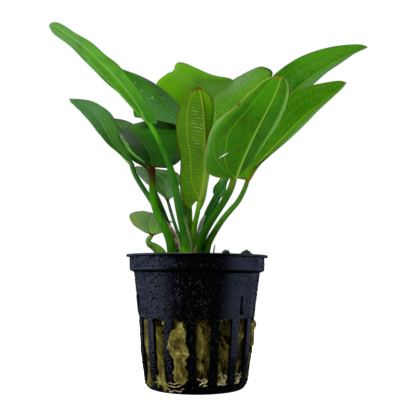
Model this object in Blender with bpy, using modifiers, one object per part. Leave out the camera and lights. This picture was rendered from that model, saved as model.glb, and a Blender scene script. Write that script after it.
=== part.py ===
"""Potted echinodorus: an aquarium sword plant in a slotted net pot packed with rockwool.

The scene is in metres with +Z up. The origin is the centre of the pot's underside, and the
plant's front is -Y. Lengths in this file are millimetres until a mesh is made.
"""

import math

import bmesh
import bpy
import numpy as np

MM = 0.001
GAP = 0.3

# Net pot, a standard 5 cm size
POT_HEIGHT = 50.0
RIM_RADIUS = 27.4
RIM_THICKNESS = 0.9
COLLAR_RADIUS = 26.0
COLLAR_FOOT = 44.0
SHOULDER_RADIUS = 24.3
BODY_RADII = ((43.2, 24.2), (31.0, 22.7), (26.7, 22.2), (13.0, 21.2), (3.1, 19.7), (1.2, 19.0))
BASE_RADIUS = 17.8
WALL = 1.1
FLOOR = 1.4
POT_STEPS = 48
SLOT_COUNT = 16
SLOT_TOP = 26.7
SLOT_FOOT = 3.1
SLOT_WIDTH_TOP = 5.4
SLOT_WIDTH_FOOT = 4.7
SLOT_START_DEG = 6.25
LUG_COUNT = 6
LUG_FOOT = 28.0
LUG_TOP = 34.6
LUG_WIDTH = 1.4
LUG_PROUD = 0.6
LUG_START_DEG = -13.0
DRAIN_COUNT = 8
DRAIN_RADIUS = 2.0
DRAIN_CIRCLE = 11.5

# Rockwool plug, with a pad in each slot and a loose tuft over the front left slot
PLUG_TOP = 43.6
PLUG_STEPS = 32
PAD_INSET = 0.35
PAD_SET_BACK = 0.2
TUFT_SLOT_DEG = -16.25
TUFT_HEIGHT = 14.0
TUFT_CENTRE_RADIUS = 22.8
TUFT_HALF = (4.3, 1.0, 11.0)

# Crown, the short rhizome that the stalks grow from
CROWN_CENTRE = (-5.0, -1.0)
CROWN_HALF = (11.5, 8.0)
CROWN_FOOT = PLUG_TOP + GAP
CROWN_TOP = 46.4
STALK_FOOT = CROWN_TOP + GAP + 0.1

# Moss clumps on the rockwool, inside the rim at the front right
MOSS_CLUMPS = {
    "moss_clump_1": ((10.8, -10.0), (2.0, 2.0)),
    "moss_clump_2": ((18.4, -9.0), (2.9, 2.1)),
}
MOSS_TOP = 51.9

# Leaf build
STALK_RINGS = 7
BLADE_RINGS = 10
SCALE_RINGS = 6
BLADE_HALF_THICKNESS = 0.24
RIDGE_FALL = 0.75
STALK_FLATNESS = 0.9
PATH_STEPS = 12

# Each leaf is a stalk and a blade along one curve. "rib" is the midrib from the blade's base to
# its tip. "facing" is the compass direction in degrees, anticlockwise from +X, that the blade
# leans to, at its base and its tip. Left and right are as seen from the plant's centre, looking
# outwards along the leaf. "fold" raises the left half at base and tip, then the right half, and
# "bow" bends each half further towards its margin, all in degrees. "left" and "right" are half
# widths at six evenly turned stations, and "lobes" is how far each basal lobe hangs back.
LEAVES = {
    "leaf_left_tall": {
        "stalk": [(-3.8, -5, 50.6), (-4.2, -6.5, 55.5), (-5.4, -8, 60.7), (-6.7, -10, 66.2),
                  (-7.8, -12, 71.6), (-9.2, -14, 78.1), (-11, -15.5, 83.5), (-13.6, -17, 89.6),
                  (-16.3, -18.5, 94.8)],
        "rib": [(-18.4, -19.5, 98.1), (-22.2, -20.5, 101.8), (-29.5, -22, 109.5),
                (-36.1, -23, 116.4), (-41.5, -24, 122), (-47, -24.5, 126.8), (-54.5, -25, 132.1)],
        "stalk_radii": (2.05, 0.9), "facing": (-124, -122), "fold": (6, 3, 59, 6),
        "bow": (0, 0), "lobes": (2.7, 0.0),
        "left": (3.9, 6.0, 7.1, 5.8, 3.9, 3.0), "right": (5.2, 6.2, 6.2, 4.9, 3.1, 2.6),
    },
    "leaf_left_rear": {
        "stalk": [(-5.7, 2.8, 50.9), (-5.9, 2.6, 59.9), (-5.2, 1.7, 71.7), (-4.4, 1, 83.7),
                  (-3.7, 0, 91.5)],
        "rib": [(-4.4, -1, 99), (-8.1, 2.2, 105), (-13.9, 9, 113), (-19.6, 12, 119.8),
                (-24.8, 13.5, 124.4), (-30, 14.5, 127.8), (-35.3, 15.5, 130.2)],
        "stalk_radii": (1.3, 0.8), "facing": (118, 119), "fold": (-30, -30, -11, -16),
        "bow": (-9, -1), "lobes": (-0.5, 0.4),
        "left": (0.5, 5.4, 11.0, 10.6, 7.4, 3.6), "right": (0.8, 2.6, 8.6, 8.5, 6.3, 3.6),
    },
    "leaf_left_low": {
        "stalk": [(-9.8, -0.5, 50.7), (-11.2, -1, 57.3), (-13.4, -1.3, 63.5), (-16.3, -1.3, 68.2),
                  (-19.1, -1, 72.5), (-22.9, 0, 78.2), (-25.3, 0.5, 82.6)],
        "rib": [(-26.5, 0.7, 86.4), (-30.2, 0.7, 90.1), (-34, 0.3, 93.7), (-36.7, 0.3, 98.5),
                (-39.9, -0.5, 103.5), (-43.5, -1, 107.4), (-47.3, -2, 109.6), (-50.9, -3, 111)],
        "stalk_radii": (1.2, 1.0), "facing": (129, 127), "fold": (24, -14, 40, 19),
        "bow": (-1, 0), "lobes": (0.6, -0.5),
        "left": (1.4, 2.4, 3.6, 4.5, 4.2, 2.5), "right": (1.8, 2.3, 3.5, 5.0, 3.5, 0.9),
    },
    "leaf_left_broad": {
        "stalk": [(-9.5, -5, 50.6), (-10.4, -6, 55.1), (-12.1, -7, 59.2), (-14.6, -8, 64),
                  (-16.3, -8.6, 68.2), (-17.1, -9, 71.9), (-17.3, -9, 78)],
        "rib": [(-17.5, -9, 83.5), (-18.4, -6, 87.6), (-20.2, -1.5, 91.4), (-22.4, 3, 94.8),
                (-25.3, 8.5, 98.9), (-28.1, 14.5, 103), (-30.1, 20, 105.9)],
        "stalk_radii": (1.6, 1.2), "facing": (117, 109), "fold": (27, -14, 30, 30),
        "bow": (-3, 3), "lobes": (1.8, 3.1),
        "left": (13.2, 13.6, 11.4, 8.2, 5.8, 1.2), "right": (10.5, 15.0, 16.5, 14.5, 10.5, 3.5),
    },
    "leaf_left_inner": {
        "stalk": [(-8.4, 2.5, 50.9), (-10, 2.7, 57.6), (-12.8, 2.2, 65), (-14.6, -0.5, 69.5),
                  (-16.6, -5, 74), (-17.9, -4.7, 78.5)],
        "rib": [(-19.6, 2, 84), (-22.7, 10, 90), (-26.5, 15, 96.1), (-30.5, 19.5, 102.1),
                (-34.4, 23, 106.8), (-37.8, 26.5, 110.4)],
        "stalk_radii": (1.1, 0.8), "facing": (91, 90), "fold": (11, 15, 19, 27),
        "bow": (-1, 3), "lobes": (0.1, -0.5),
        "left": (2.0, 5.2, 5.9, 5.1, 3.1, 1.0), "right": (1.7, 5.1, 7.0, 5.9, 3.8, 1.4),
    },
    "leaf_rear_broad": {
        "stalk": [(-2.7, 4, 51), (-2.9, 6, 57.9), (-3.5, 11, 67.7), (-3.8, 18.5, 80.5),
                  (-3, 25, 95)],
        "rib": [(-1.3, 30.0, 106.2), (2.0, 34.5, 113.3), (4.8, 40.0, 120.1), (7.5, 46.0, 125.9),
                (11.0, 52.0, 130.7), (14.3, 57.0, 134.9), (17.1, 62.0, 139.8)],
        "stalk_radii": (1.4, 1.1), "facing": (80, 65), "fold": (45, 45, 5, 30),
        "bow": (0, 0), "lobes": (1.0, 1.0),
        "left": (23.0, 26.0, 24.0, 22.0, 11.5, 4.3), "right": (8.0, 19.0, 27.0, 29.0, 22.5, 7.0),
    },
    "leaf_front_upright": {
        "stalk": [(-1.8, -1, 50.8), (-1.5, -1.5, 55.8), (-1.1, -2.5, 61.2), (0, -4.5, 66.4)],
        "rib": [(0.8, -6.5, 71.3), (1.8, -8.5, 76.4), (2.5, -10.5, 81.9), (2.6, -12.5, 87.2),
                (2.3, -15, 92.4), (2, -18, 97.8), (1.5, -21, 102.7), (0.8, -25, 106.4),
                (-0.1, -29, 108.6)],
        "stalk_radii": (1.2, 0.9), "facing": (-76, -78), "fold": (58, 14, 19, 16),
        "bow": (-1, 0), "lobes": (5.4, 5.1),
        "left": (6.5, 4.6, 4.0, 4.2, 5.2, 1.8), "right": (6.6, 9.0, 9.5, 10.6, 8.3, 3.3),
    },
    "leaf_front_right": {
        "stalk": [(0.1, -4.5, 50.7), (1.3, -5.5, 55.2), (3.6, -7, 60.1), (6.3, -9, 64.5),
                  (9, -10.5, 68.6), (11.4, -12, 72.6), (12.8, -13, 75.9)],
        "rib": [(13.4, -14, 78.7), (15.6, -17.5, 84.6), (18.2, -21, 90.1), (20.8, -24.5, 95.2),
                (23.4, -28, 99.8), (25.5, -31, 103.6), (27, -34, 106.8), (28, -37, 110)],
        "stalk_radii": (1.55, 1.3), "facing": (-55, -64), "fold": (32, 6, 7, 22),
        "bow": (2, 1), "lobes": (-0.5, 1.2),
        "left": (13.7, 14.5, 13.6, 11.5, 7.6, 3.6), "right": (12.4, 14.4, 15.4, 10.9, 7.7, 4.6),
    },
    "leaf_right_low": {
        "stalk": [(3.3, -2.5, 50.8), (4.2, -3, 54.6), (6.6, -3.5, 58.9), (9.3, -4, 63.1),
                  (12.5, -4, 67.1), (15.5, -3.5, 70.6), (18, -3.3, 75.3)],
        "rib": [(19.6, -3, 79.9), (23.1, -2.8, 85.4), (28.9, -3.2, 91.7), (34.9, -3.5, 97.9),
                (41.3, -2.5, 104.7), (48.1, -0.5, 110.6), (54.4, 2, 115.9), (60.1, 5, 121.5)],
        "stalk_radii": (1.5, 0.95), "facing": (21, 20), "fold": (75, 65, -8, 2),
        "bow": (1, 0), "lobes": (2.6, 0.1),
        "left": (8.4, 10.2, 11.5, 10.9, 7.6, 3.6), "right": (1.6, 6.8, 9.6, 10.1, 7.2, 3.5),
    },
    "leaf_right_tall": {
        "stalk": [(0.7, 1.5, 50.9), (1.2, 2, 56), (2.6, 3, 62), (4.1, 4, 67.3), (7.9, 5, 74.8),
                  (11.8, 6.5, 81.9)],
        "rib": [(17.1, 8.5, 91.4), (24.8, 11, 102.5), (31.8, 13.5, 111.8), (38.5, 16, 119),
                (44.4, 18, 124.4), (50.5, 20, 129.6), (57.1, 22, 134.4), (63.8, 24, 138.8),
                (70.1, 26, 142.3), (75.6, 28, 145.3)],
        "stalk_radii": (1.3, 1.2), "facing": (43, 41), "fold": (75, 56, -2, 1),
        "bow": (1, 0), "lobes": (-0.5, 2.1),
        "left": (2.7, 7.4, 10.5, 10.3, 7.0, 3.4), "right": (6.1, 7.3, 8.3, 8.4, 6.8, 3.4),
    },
    "leaf_left_small": {
        "stalk": [(-5.5, -1, 50.8), (-7.2, -0.8, 57.2), (-9.1, 0, 62.6), (-10.6, 1, 67.3)],
        "rib": [(-12.1, 2.5, 72.2), (-14.8, 4.5, 76.1), (-17.8, 7, 80.1), (-21.3, 10, 83.8),
                (-25.8, 13, 87)],
        "stalk_radii": (0.75, 0.6), "facing": (117, 117), "fold": (38, -4, 60, 5),
        "bow": (0, 0), "lobes": (0.7, 1.2),
        "left": (6.0, 9.0, 8.4, 6.4, 3.8, 1.6), "right": (6.0, 9.2, 9.1, 6.3, 3.7, 2.1),
    },
    "leaf_left_round": {
        "stalk": [(-13.9, -3.5, 50.2), (-16.2, -4, 52.7), (-18.2, -5, 53.9), (-18.7, -5.5, 55.4),
                  (-17.7, -5.8, 56.8)],
        "rib": [(-17.3, -5.3, 57.6), (-18.5, -1, 60.2), (-19, 4, 62.9), (-18.8, 10, 65.5),
                (-17.8, 16, 67.6)],
        "stalk_radii": (1.9, 0.7), "facing": (97, 93), "fold": (30, 13, 14, -22),
        "bow": (4, 2), "lobes": (2.2, 1.0),
        "left": (8.0, 8.8, 8.8, 7.4, 5.7, 4.2), "right": (6.0, 4.5, 4.2, 7.0, 10.5, 8.5),
    },
    "leaf_right_young": {
        "stalk": [(1.1, 4.5, 51), (2.2, 5.5, 57), (4.6, 7, 64.4), (7.2, 8.5, 70.3)],
        "rib": [(9, 9.5, 74.3), (9.1, 11, 78), (10, 12.5, 82.4), (11.7, 14, 87.3),
                (13.8, 15.5, 92.3)],
        "stalk_radii": (0.8, 0.6), "facing": (95, 96), "fold": (14, 13, 14, 10),
        "bow": (0, 0), "lobes": (0, 0),
        "left": (3.0, 2.7, 0.9, 1.0, 1.1, 0.7), "right": (2.7, 2.6, 2.6, 2.4, 2.0, 1.3),
    },
}

# Dry papery sheaths and a dead leaf tip: blades with no stalk
SCALES = {
    "sheath_left": {
        "rib": [(-7.2, -2.8, STALK_FOOT), (-8, -3, 54.5), (-9.6, -3.3, 58.4),
                (-11.3, -3.6, 61.3), (-12.7, -3.8, 63.2)],
        "facing": (-90, -90), "fold": (0, 0, 0, 0), "bow": (0, 0), "lobes": (0, 0),
        "left": (1.5, 1.5, 1.4, 1.2, 0.9, 0.6), "right": (1.5, 1.5, 1.4, 1.2, 0.9, 0.6),
    },
    "sheath_middle": {
        "rib": [(0.3, -0.6, STALK_FOOT), (0.3, -0.4, 53), (0.4, -0.2, 56.7), (1, -0.2, 60.7),
                (2, 0, 63.9), (3.1, 0.3, 65.7)],
        "facing": (-90, -90), "fold": (0, 0, 0, 0), "bow": (0, 0), "lobes": (0, 0),
        "left": (0.5, 0.6, 0.8, 0.9, 0.8, 0.5), "right": (0.5, 0.6, 0.8, 0.9, 0.8, 0.5),
    },
    "dead_leaf_tip": {
        "rib": [(6.1, -6, PLUG_TOP + GAP), (6.1, -6, 47), (6.2, -6, 50.5), (6.7, -6, 53.9)],
        "facing": (-90, -90), "fold": (0, 0, 0, 0), "bow": (0, 0), "lobes": (0, 0),
        "left": (1.1, 1.0, 0.9, 0.8, 0.7, 0.6), "right": (1.1, 1.0, 0.9, 0.8, 0.7, 0.6),
    },
}
SCALE_RIDGE = 0.3

# Colours (linear RGB), roughness
BLACK_PLASTIC = ((0.010, 0.011, 0.018), 0.25)
ROCKWOOL = ((0.24, 0.20, 0.07), 0.95)
CROWN_GREEN = ((0.16, 0.17, 0.05), 0.7)
LEAF_GREEN = ((0.07, 0.19, 0.02), 0.35)
DARK_LEAF = ((0.03, 0.10, 0.02), 0.3)
PAPERY_BROWN = ((0.30, 0.20, 0.10), 0.8)
MOSS_GREEN = ((0.03, 0.06, 0.015), 0.9)
DARK_LEAVES = ("leaf_left_broad", "leaf_left_inner", "leaf_left_rear", "leaf_left_small")


def clear_scene():
    for obj in list(bpy.data.objects):
        bpy.data.objects.remove(obj, do_unlink=True)


def new_collection(name, helper=False):
    collection = bpy.data.collections.new(name)
    bpy.context.scene.collection.children.link(collection)
    collection.hide_render = helper
    return collection


def material(name, finish):
    (red, green, blue), roughness = finish
    made = bpy.data.materials.new(name)
    made.use_nodes = True
    shader = made.node_tree.nodes["Principled BSDF"]
    shader.inputs["Base Color"].default_value = (red, green, blue, 1)
    shader.inputs["Roughness"].default_value = roughness
    shader.inputs["Metallic"].default_value = 0
    return made


def add_object(name, bm, collection, finish=None, parent=None):
    """Turns a bmesh in millimetres into an object in metres."""
    bmesh.ops.scale(bm, vec=(MM, MM, MM), verts=bm.verts)
    bmesh.ops.recalc_face_normals(bm, faces=bm.faces)
    mesh = bpy.data.meshes.new(name)
    bm.to_mesh(mesh)
    bm.free()
    obj = bpy.data.objects.new(name, mesh)
    collection.objects.link(obj)
    obj.parent = parent
    if finish:
        mesh.materials.append(material(name, finish))
        mesh.shade_smooth()
        mesh.set_sharp_from_angle(angle=math.radians(40))
    else:
        obj.hide_render = True
        obj.display_type = "WIRE"
    return obj


def turned(name, profile, steps, collection, finish, parent):
    """A closed turned solid: its profile starts and ends on the axis and runs down its outside."""
    mesh = bpy.data.meshes.new(name)
    points = [(radius * MM, 0, height * MM) for radius, height in profile]
    mesh.from_pydata(points, [(i, i + 1) for i in range(len(points) - 1)], [])
    obj = bpy.data.objects.new(name, mesh)
    collection.objects.link(obj)
    obj.parent = parent
    screw = obj.modifiers.new("turn", "SCREW")
    screw.steps = screw.render_steps = steps
    screw.use_merge_vertices = True
    screw.merge_threshold = 0.0001
    screw.use_smooth_shade = True
    mesh.materials.append(material(name, finish))
    return obj


def combine(obj, operation, other):
    modifier = obj.modifiers.new(other.name, "BOOLEAN")
    modifier.operation = operation
    modifier.solver = "EXACT"
    modifier.object = other


def body_radius(height):
    heights, radii = zip(*reversed(BODY_RADII))
    return float(np.interp(height, heights, radii))


def around(angle_deg, radius, sideways=0.0):
    """A point at an angle from the front, positive to the right, seen from above."""
    angle = math.radians(angle_deg)
    outward = (math.sin(angle), -math.cos(angle))
    across = (math.cos(angle), math.sin(angle))
    return (radius * outward[0] + sideways * across[0], radius * outward[1] + sideways * across[1])


def wedge(bm, angle_deg, foot, top):
    """A block on the pot's wall; foot and top are (height, width, inner radius, outer radius)."""
    corners = []
    for height, width, inner, outer in (foot, top):
        for radius, side in ((inner, -1), (outer, -1), (outer, 1), (inner, 1)):
            x, y = around(angle_deg, radius, side * width / 2)
            corners.append(bm.verts.new((x, y, height)))
    low, high = corners[:4], corners[4:]
    bm.faces.new(low[::-1])
    bm.faces.new(high)
    for i in range(4):
        j = (i + 1) % 4
        bm.faces.new((low[i], low[j], high[j], high[i]))


def slot_angles():
    return [SLOT_START_DEG + k * 360 / SLOT_COUNT for k in range(SLOT_COUNT)]


def slot_cutters(collection):
    bm = bmesh.new()
    for angle in slot_angles():
        foot = (SLOT_FOOT, SLOT_WIDTH_FOOT, 14, 30)
        wedge(bm, angle, foot, (SLOT_TOP, SLOT_WIDTH_TOP, 14, 30))
    return add_object("slot_cutters", bm, collection)


def drain_cutters(collection):
    bm = bmesh.new()
    for k in range(DRAIN_COUNT):
        made = bmesh.ops.create_cone(
            bm, cap_ends=True, segments=8, radius1=DRAIN_RADIUS, radius2=DRAIN_RADIUS, depth=8
        )
        x, y = around(k * 360 / DRAIN_COUNT, DRAIN_CIRCLE)
        bmesh.ops.translate(bm, vec=(x, y, 0), verts=made["verts"])
    return add_object("drain_cutters", bm, collection)


def lugs(collection):
    bm = bmesh.new()
    for k in range(LUG_COUNT):
        ends = []
        for height in (LUG_FOOT, LUG_TOP):
            radius = body_radius(height)
            ends.append((height, LUG_WIDTH, radius - WALL / 2, radius + LUG_PROUD))
        wedge(bm, LUG_START_DEG + k * 360 / LUG_COUNT, *ends)
    return add_object("lug_blocks", bm, collection)


def build_pot(collection, helpers, parent):
    inner = [(radius - WALL, height) for height, radius in reversed(BODY_RADII) if height > FLOOR]
    outer = [(radius, height) for height, radius in BODY_RADII]
    rim_foot = POT_HEIGHT - RIM_THICKNESS
    profile = [(0, FLOOR), (BODY_RADII[-1][1] - WALL - 0.4, FLOOR)]
    profile += inner
    profile += [(SHOULDER_RADIUS - WALL, COLLAR_FOOT), (COLLAR_RADIUS - WALL, COLLAR_FOOT + 1.0)]
    profile += [(COLLAR_RADIUS - WALL, POT_HEIGHT), (RIM_RADIUS, POT_HEIGHT)]
    profile += [(RIM_RADIUS, rim_foot), (COLLAR_RADIUS, rim_foot), (COLLAR_RADIUS, COLLAR_FOOT)]
    profile += outer
    profile += [(BASE_RADIUS + 0.5, 0.3), (BASE_RADIUS, 0), (0, 0)]
    pot = turned("net_pot", profile, POT_STEPS, collection, BLACK_PLASTIC, parent)
    combine(pot, "UNION", lugs(helpers))
    combine(pot, "DIFFERENCE", slot_cutters(helpers))
    combine(pot, "DIFFERENCE", drain_cutters(helpers))
    return pot


def slot_pads(collection):
    bm = bmesh.new()
    for angle in slot_angles():
        ends = []
        for height, width in ((SLOT_FOOT + GAP, SLOT_WIDTH_FOOT), (SLOT_TOP - GAP, SLOT_WIDTH_TOP)):
            outer = body_radius(height) - PAD_SET_BACK
            ends.append((height, width - 2 * PAD_INSET, outer - 5, outer))
        wedge(bm, angle, *ends)
    return add_object("slot_pads", bm, collection)


def tuft(collection):
    bm = bmesh.new()
    bmesh.ops.create_uvsphere(bm, u_segments=12, v_segments=8, radius=1)
    bmesh.ops.scale(bm, vec=TUFT_HALF, verts=bm.verts)
    turn = math.radians(TUFT_SLOT_DEG)
    x, y = around(TUFT_SLOT_DEG, TUFT_CENTRE_RADIUS)
    cosine, sine = math.cos(turn), math.sin(turn)
    for vert in bm.verts:
        along, out = vert.co.x, vert.co.y
        vert.co.x = x + along * cosine - out * sine
        vert.co.y = y + along * sine + out * cosine
        vert.co.z += TUFT_HEIGHT
    return add_object("tuft_lump", bm, collection)


def tuft_root(collection):
    """Joins the tuft to the plug through its slot."""
    bm = bmesh.new()
    ends = []
    for height in (TUFT_HEIGHT - 7, TUFT_HEIGHT + 7):
        ends.append((height, SLOT_WIDTH_FOOT - 3 * PAD_INSET, 17, TUFT_CENTRE_RADIUS))
    wedge(bm, TUFT_SLOT_DEG, *ends)
    return add_object("tuft_root", bm, collection)


def build_rockwool(collection, helpers, parent):
    """The plug's profile follows the inside of the pot's wall."""
    side = [(radius - WALL - GAP, height) for height, radius in BODY_RADII if height > SLOT_FOOT]
    profile = [(0, PLUG_TOP), (SHOULDER_RADIUS - WALL - 2.2, PLUG_TOP)]
    profile += [(side[0][0] - 0.3, side[0][1] - 1.0)]
    profile += side[1:]
    profile += [(body_radius(SLOT_FOOT) - WALL - GAP - 0.3, SLOT_FOOT), (0, FLOOR + GAP)]
    profile.insert(-1, (body_radius(FLOOR) - WALL - GAP - 1.5, FLOOR + GAP))
    plug = turned("rockwool", profile, PLUG_STEPS, collection, ROCKWOOL, parent)
    combine(plug, "UNION", slot_pads(helpers))
    combine(plug, "UNION", tuft_root(helpers))
    combine(plug, "UNION", tuft(helpers))
    return plug


def build_crown(collection, parent):
    bm = bmesh.new()
    height = CROWN_TOP - CROWN_FOOT
    bmesh.ops.create_cone(bm, cap_ends=True, segments=20, radius1=1, radius2=0.9, depth=height)
    bmesh.ops.scale(bm, vec=(*CROWN_HALF, 1), verts=bm.verts)
    centre = (*CROWN_CENTRE, (CROWN_TOP + CROWN_FOOT) / 2)
    bmesh.ops.translate(bm, vec=centre, verts=bm.verts)
    return add_object("crown", bm, collection, CROWN_GREEN, parent)


def build_moss(name, centre, half, collection, parent):
    """A rounded clump that stands on the rockwool."""
    bm = bmesh.new()
    bmesh.ops.create_icosphere(bm, subdivisions=2, radius=1)
    foot = PLUG_TOP + GAP
    tall = (MOSS_TOP - foot) / 2
    bmesh.ops.scale(bm, vec=(*half, tall), verts=bm.verts)
    bmesh.ops.translate(bm, vec=(*centre, foot + tall), verts=bm.verts)
    return add_object(name, bm, collection, MOSS_GREEN, parent)


def smooth_path(points):
    """A Catmull-Rom curve through the points."""
    p = np.asarray(points, float)
    p = np.vstack([2 * p[0] - p[1], p, 2 * p[-1] - p[-2]])
    t = np.linspace(0, 1, PATH_STEPS, endpoint=False)[:, None]
    runs = []
    for a, b, c, d in zip(p, p[1:], p[2:], p[3:]):
        squares = (2 * a - 5 * b + 4 * c - d) * t**2
        cubes = (3 * b - a - 3 * c + d) * t**3
        runs.append(0.5 * (2 * b + (c - a) * t + squares + cubes))
    return np.vstack(runs + [p[-2:-1]])


def arc_shares(path):
    steps = np.linalg.norm(np.diff(path, axis=0), axis=1)
    lengths = np.concatenate([[0], np.cumsum(steps)])
    return lengths / lengths[-1]


def sample(path, values, shares):
    known = arc_shares(path)
    return np.stack([np.interp(shares, known, values[:, i]) for i in range(3)], axis=-1)


def unit(vectors):
    return vectors / np.linalg.norm(vectors, axis=-1, keepdims=True)


def frames(path, facing, shares):
    """Centre, tangent, leftward side and upper-face normal at each share of the path's length."""
    even = sample(path, path, np.linspace(0, 1, 120))
    tangents = unit(np.gradient(even, axis=0))
    angles = np.radians(facing[0] + (facing[1] - facing[0]) * arc_shares(even))
    sides = np.stack([-np.sin(angles), np.cos(angles), 0 * angles], axis=-1)
    sides = unit(sides - tangents * (sides * tangents).sum(axis=-1, keepdims=True))
    normals = np.cross(tangents, sides)
    parts = (even, tangents, sides, normals)
    centre, tangent, side, normal = (sample(even, part, shares) for part in parts)
    return centre, unit(tangent), unit(side), unit(normal)


def half_width(widths, share):
    """Half width at a share of the blade; evenly turned stations keep both ends round."""
    controls = [widths[0] / 2, *widths, 0.0]
    controls = [2 * controls[0] - controls[1], *controls, -controls[-2]]
    place = math.acos(1 - 2 * share) / math.pi * (len(widths) + 1)
    i = min(int(place), len(widths))
    t = place - i
    a, b, c, d = controls[i:i + 4]
    squares = (2 * a - 5 * b + 4 * c - d) * t**2
    cubes = (3 * b - a - 3 * c + d) * t**3
    return max(0.5 * (2 * b + (c - a) * t + squares + cubes), 0.05)


def blade_ring(leaf, share, frame, ridge):
    """One cross-section of a blade: seven points over the upper face, five back underneath."""
    centre, tangent, side, normal = frame
    widths = {1: half_width(leaf["left"], share), -1: half_width(leaf["right"], share)}
    folds = {1: leaf["fold"][:2], -1: leaf["fold"][2:]}
    bows = {1: leaf["bow"][0], -1: leaf["bow"][1]}
    lobes = {1: leaf["lobes"][0], -1: leaf["lobes"][1]}

    def point(hand, out, lift):
        base, tip = folds[hand]
        fold = math.radians(base + (tip - base) * share + bows[hand] * out / 2)
        bend = fold + math.radians(bows[hand] * out / 2)
        across = hand * math.cos(fold) * widths[hand] * out
        up = math.sin(fold) * widths[hand] * out
        back = lobes[hand] * (1 - share) ** 3 * out**1.5
        face = normal * math.cos(bend) - side * hand * math.sin(bend)
        return centre + side * across + normal * up - tangent * back + face * lift

    half = BLADE_HALF_THICKNESS
    shoulder = {hand: min(0.3, 1.5 * ridge / widths[hand]) for hand in (1, -1)}
    ring = [point(-1, 1, 0), point(-1, 0.6, half), point(-1, shoulder[-1], half)]
    ring += [point(1, 0, half)]
    ring += [point(1, shoulder[1], half), point(1, 0.6, half), point(1, 1, 0)]
    ring += [point(1, 0.6, -half), point(1, shoulder[1], -half)]
    ring += [point(1, 0, -max(ridge, half) - half)]
    ring += [point(-1, shoulder[-1], -half), point(-1, 0.6, -half)]
    return ring


def stalk_ring(radius, frame):
    centre, _, side, normal = frame
    ring = []
    for k in range(12):
        angle = math.pi - k * math.pi / 6
        across = side * (radius * math.cos(angle))
        ring.append(centre + across + normal * (STALK_FLATNESS * radius * math.sin(angle)))
    return ring


def blade_rings(leaf, ridge_radius, count):
    path = smooth_path(leaf["rib"])
    shares = [0.5 * (1 - math.cos(math.pi * k / count)) for k in range(count)]
    placed = zip(*frames(path, leaf["facing"], shares))
    rings = []
    for share, frame in zip(shares, placed):
        ridge = ridge_radius * (1 - RIDGE_FALL * share)
        rings.append(blade_ring(leaf, share, frame, ridge))
    return rings, path[-1]


def stalk_rings(leaf):
    foot = (*leaf["stalk"][0][:2], STALK_FOOT)
    path = smooth_path([foot, *leaf["stalk"], leaf["rib"][0]])
    shares = np.linspace(0, 1, STALK_RINGS, endpoint=False)
    shares[-1] = (shares[-1] + 1) / 2
    facing = (leaf["facing"][0],) * 2
    wide, slim = leaf["stalk_radii"]
    placed = zip(*frames(path, facing, shares))
    return [stalk_ring(wide + (slim - wide) * t, frame) for t, frame in zip(shares, placed)]


def skin(rings, tip):
    """A closed mesh over a row of rings, closed flat at the foot and to a point at the tip."""
    bm = bmesh.new()
    rows = [[bm.verts.new(tuple(p)) for p in ring] for ring in rings]
    foot = bm.verts.new(tuple(np.mean(rings[0], axis=0)))
    end = bm.verts.new(tuple(tip))
    size = len(rows[0])
    for low, high in zip(rows, rows[1:]):
        for i in range(size):
            j = (i + 1) % size
            bm.faces.new((low[i], low[j], high[j], high[i]))
    for i in range(size):
        j = (i + 1) % size
        bm.faces.new((foot, rows[0][j], rows[0][i]))
        bm.faces.new((rows[-1][i], rows[-1][j], end))
    bmesh.ops.triangulate(bm, faces=bm.faces)
    return bm


def build_leaf(name, leaf, collection, parent):
    rings, tip = blade_rings(leaf, leaf["stalk_radii"][1], BLADE_RINGS)
    finish = DARK_LEAF if name in DARK_LEAVES else LEAF_GREEN
    return add_object(name, skin(stalk_rings(leaf) + rings, tip), collection, finish, parent)


def build_scale(name, scale, collection, parent):
    rings, tip = blade_rings(scale, SCALE_RIDGE, SCALE_RINGS)
    return add_object(name, skin(rings, tip), collection, PAPERY_BROWN, parent)


def main():
    clear_scene()
    plant = new_collection("potted_echinodorus")
    helpers = new_collection("helpers", helper=True)
    root = bpy.data.objects.new("root", None)
    plant.objects.link(root)
    build_pot(plant, helpers, root)
    build_rockwool(plant, helpers, root)
    build_crown(plant, root)
    for name, leaf in LEAVES.items():
        build_leaf(name, leaf, plant, root)
    for name, scale in SCALES.items():
        build_scale(name, scale, plant, root)
    for name, (centre, half) in MOSS_CLUMPS.items():
        build_moss(name, centre, half, plant, root)


main()
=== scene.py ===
"""Looks for the potted echinodorus: leaves, net pot, rockwool, moss, sheaths and water drops.

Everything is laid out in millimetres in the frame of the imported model: the origin is the
centre of the pot's underside, +Z is up and the camera stands on the -Y side.
"""

import math

import bmesh
import bpy
import numpy as np
from mathutils import Matrix, Vector
from mathutils.bvhtree import BVHTree


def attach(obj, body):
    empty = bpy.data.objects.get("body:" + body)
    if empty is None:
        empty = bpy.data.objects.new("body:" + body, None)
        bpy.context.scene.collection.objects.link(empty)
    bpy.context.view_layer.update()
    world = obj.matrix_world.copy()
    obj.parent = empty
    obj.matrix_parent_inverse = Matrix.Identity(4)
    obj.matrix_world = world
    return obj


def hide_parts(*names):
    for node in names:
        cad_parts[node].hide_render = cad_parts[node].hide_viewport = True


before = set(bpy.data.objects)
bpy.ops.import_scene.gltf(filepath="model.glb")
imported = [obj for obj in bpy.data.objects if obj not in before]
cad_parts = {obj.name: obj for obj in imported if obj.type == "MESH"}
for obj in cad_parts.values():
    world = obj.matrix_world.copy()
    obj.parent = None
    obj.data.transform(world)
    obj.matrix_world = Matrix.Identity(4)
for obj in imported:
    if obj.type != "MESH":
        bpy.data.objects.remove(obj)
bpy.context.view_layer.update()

MM = 0.001
SEED = 7

# The photograph's frame and its camera
FRAME_PX = 416
FOCAL_PX = 640.0
SENSOR_MM = 36.0
CAMERA_PLACE = (0.0, -250.0, 41.8)
CAMERA_PITCH = 6.1
CAMERA_YAW = 0.93
CAMERA_ROLL = 0.47

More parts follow.
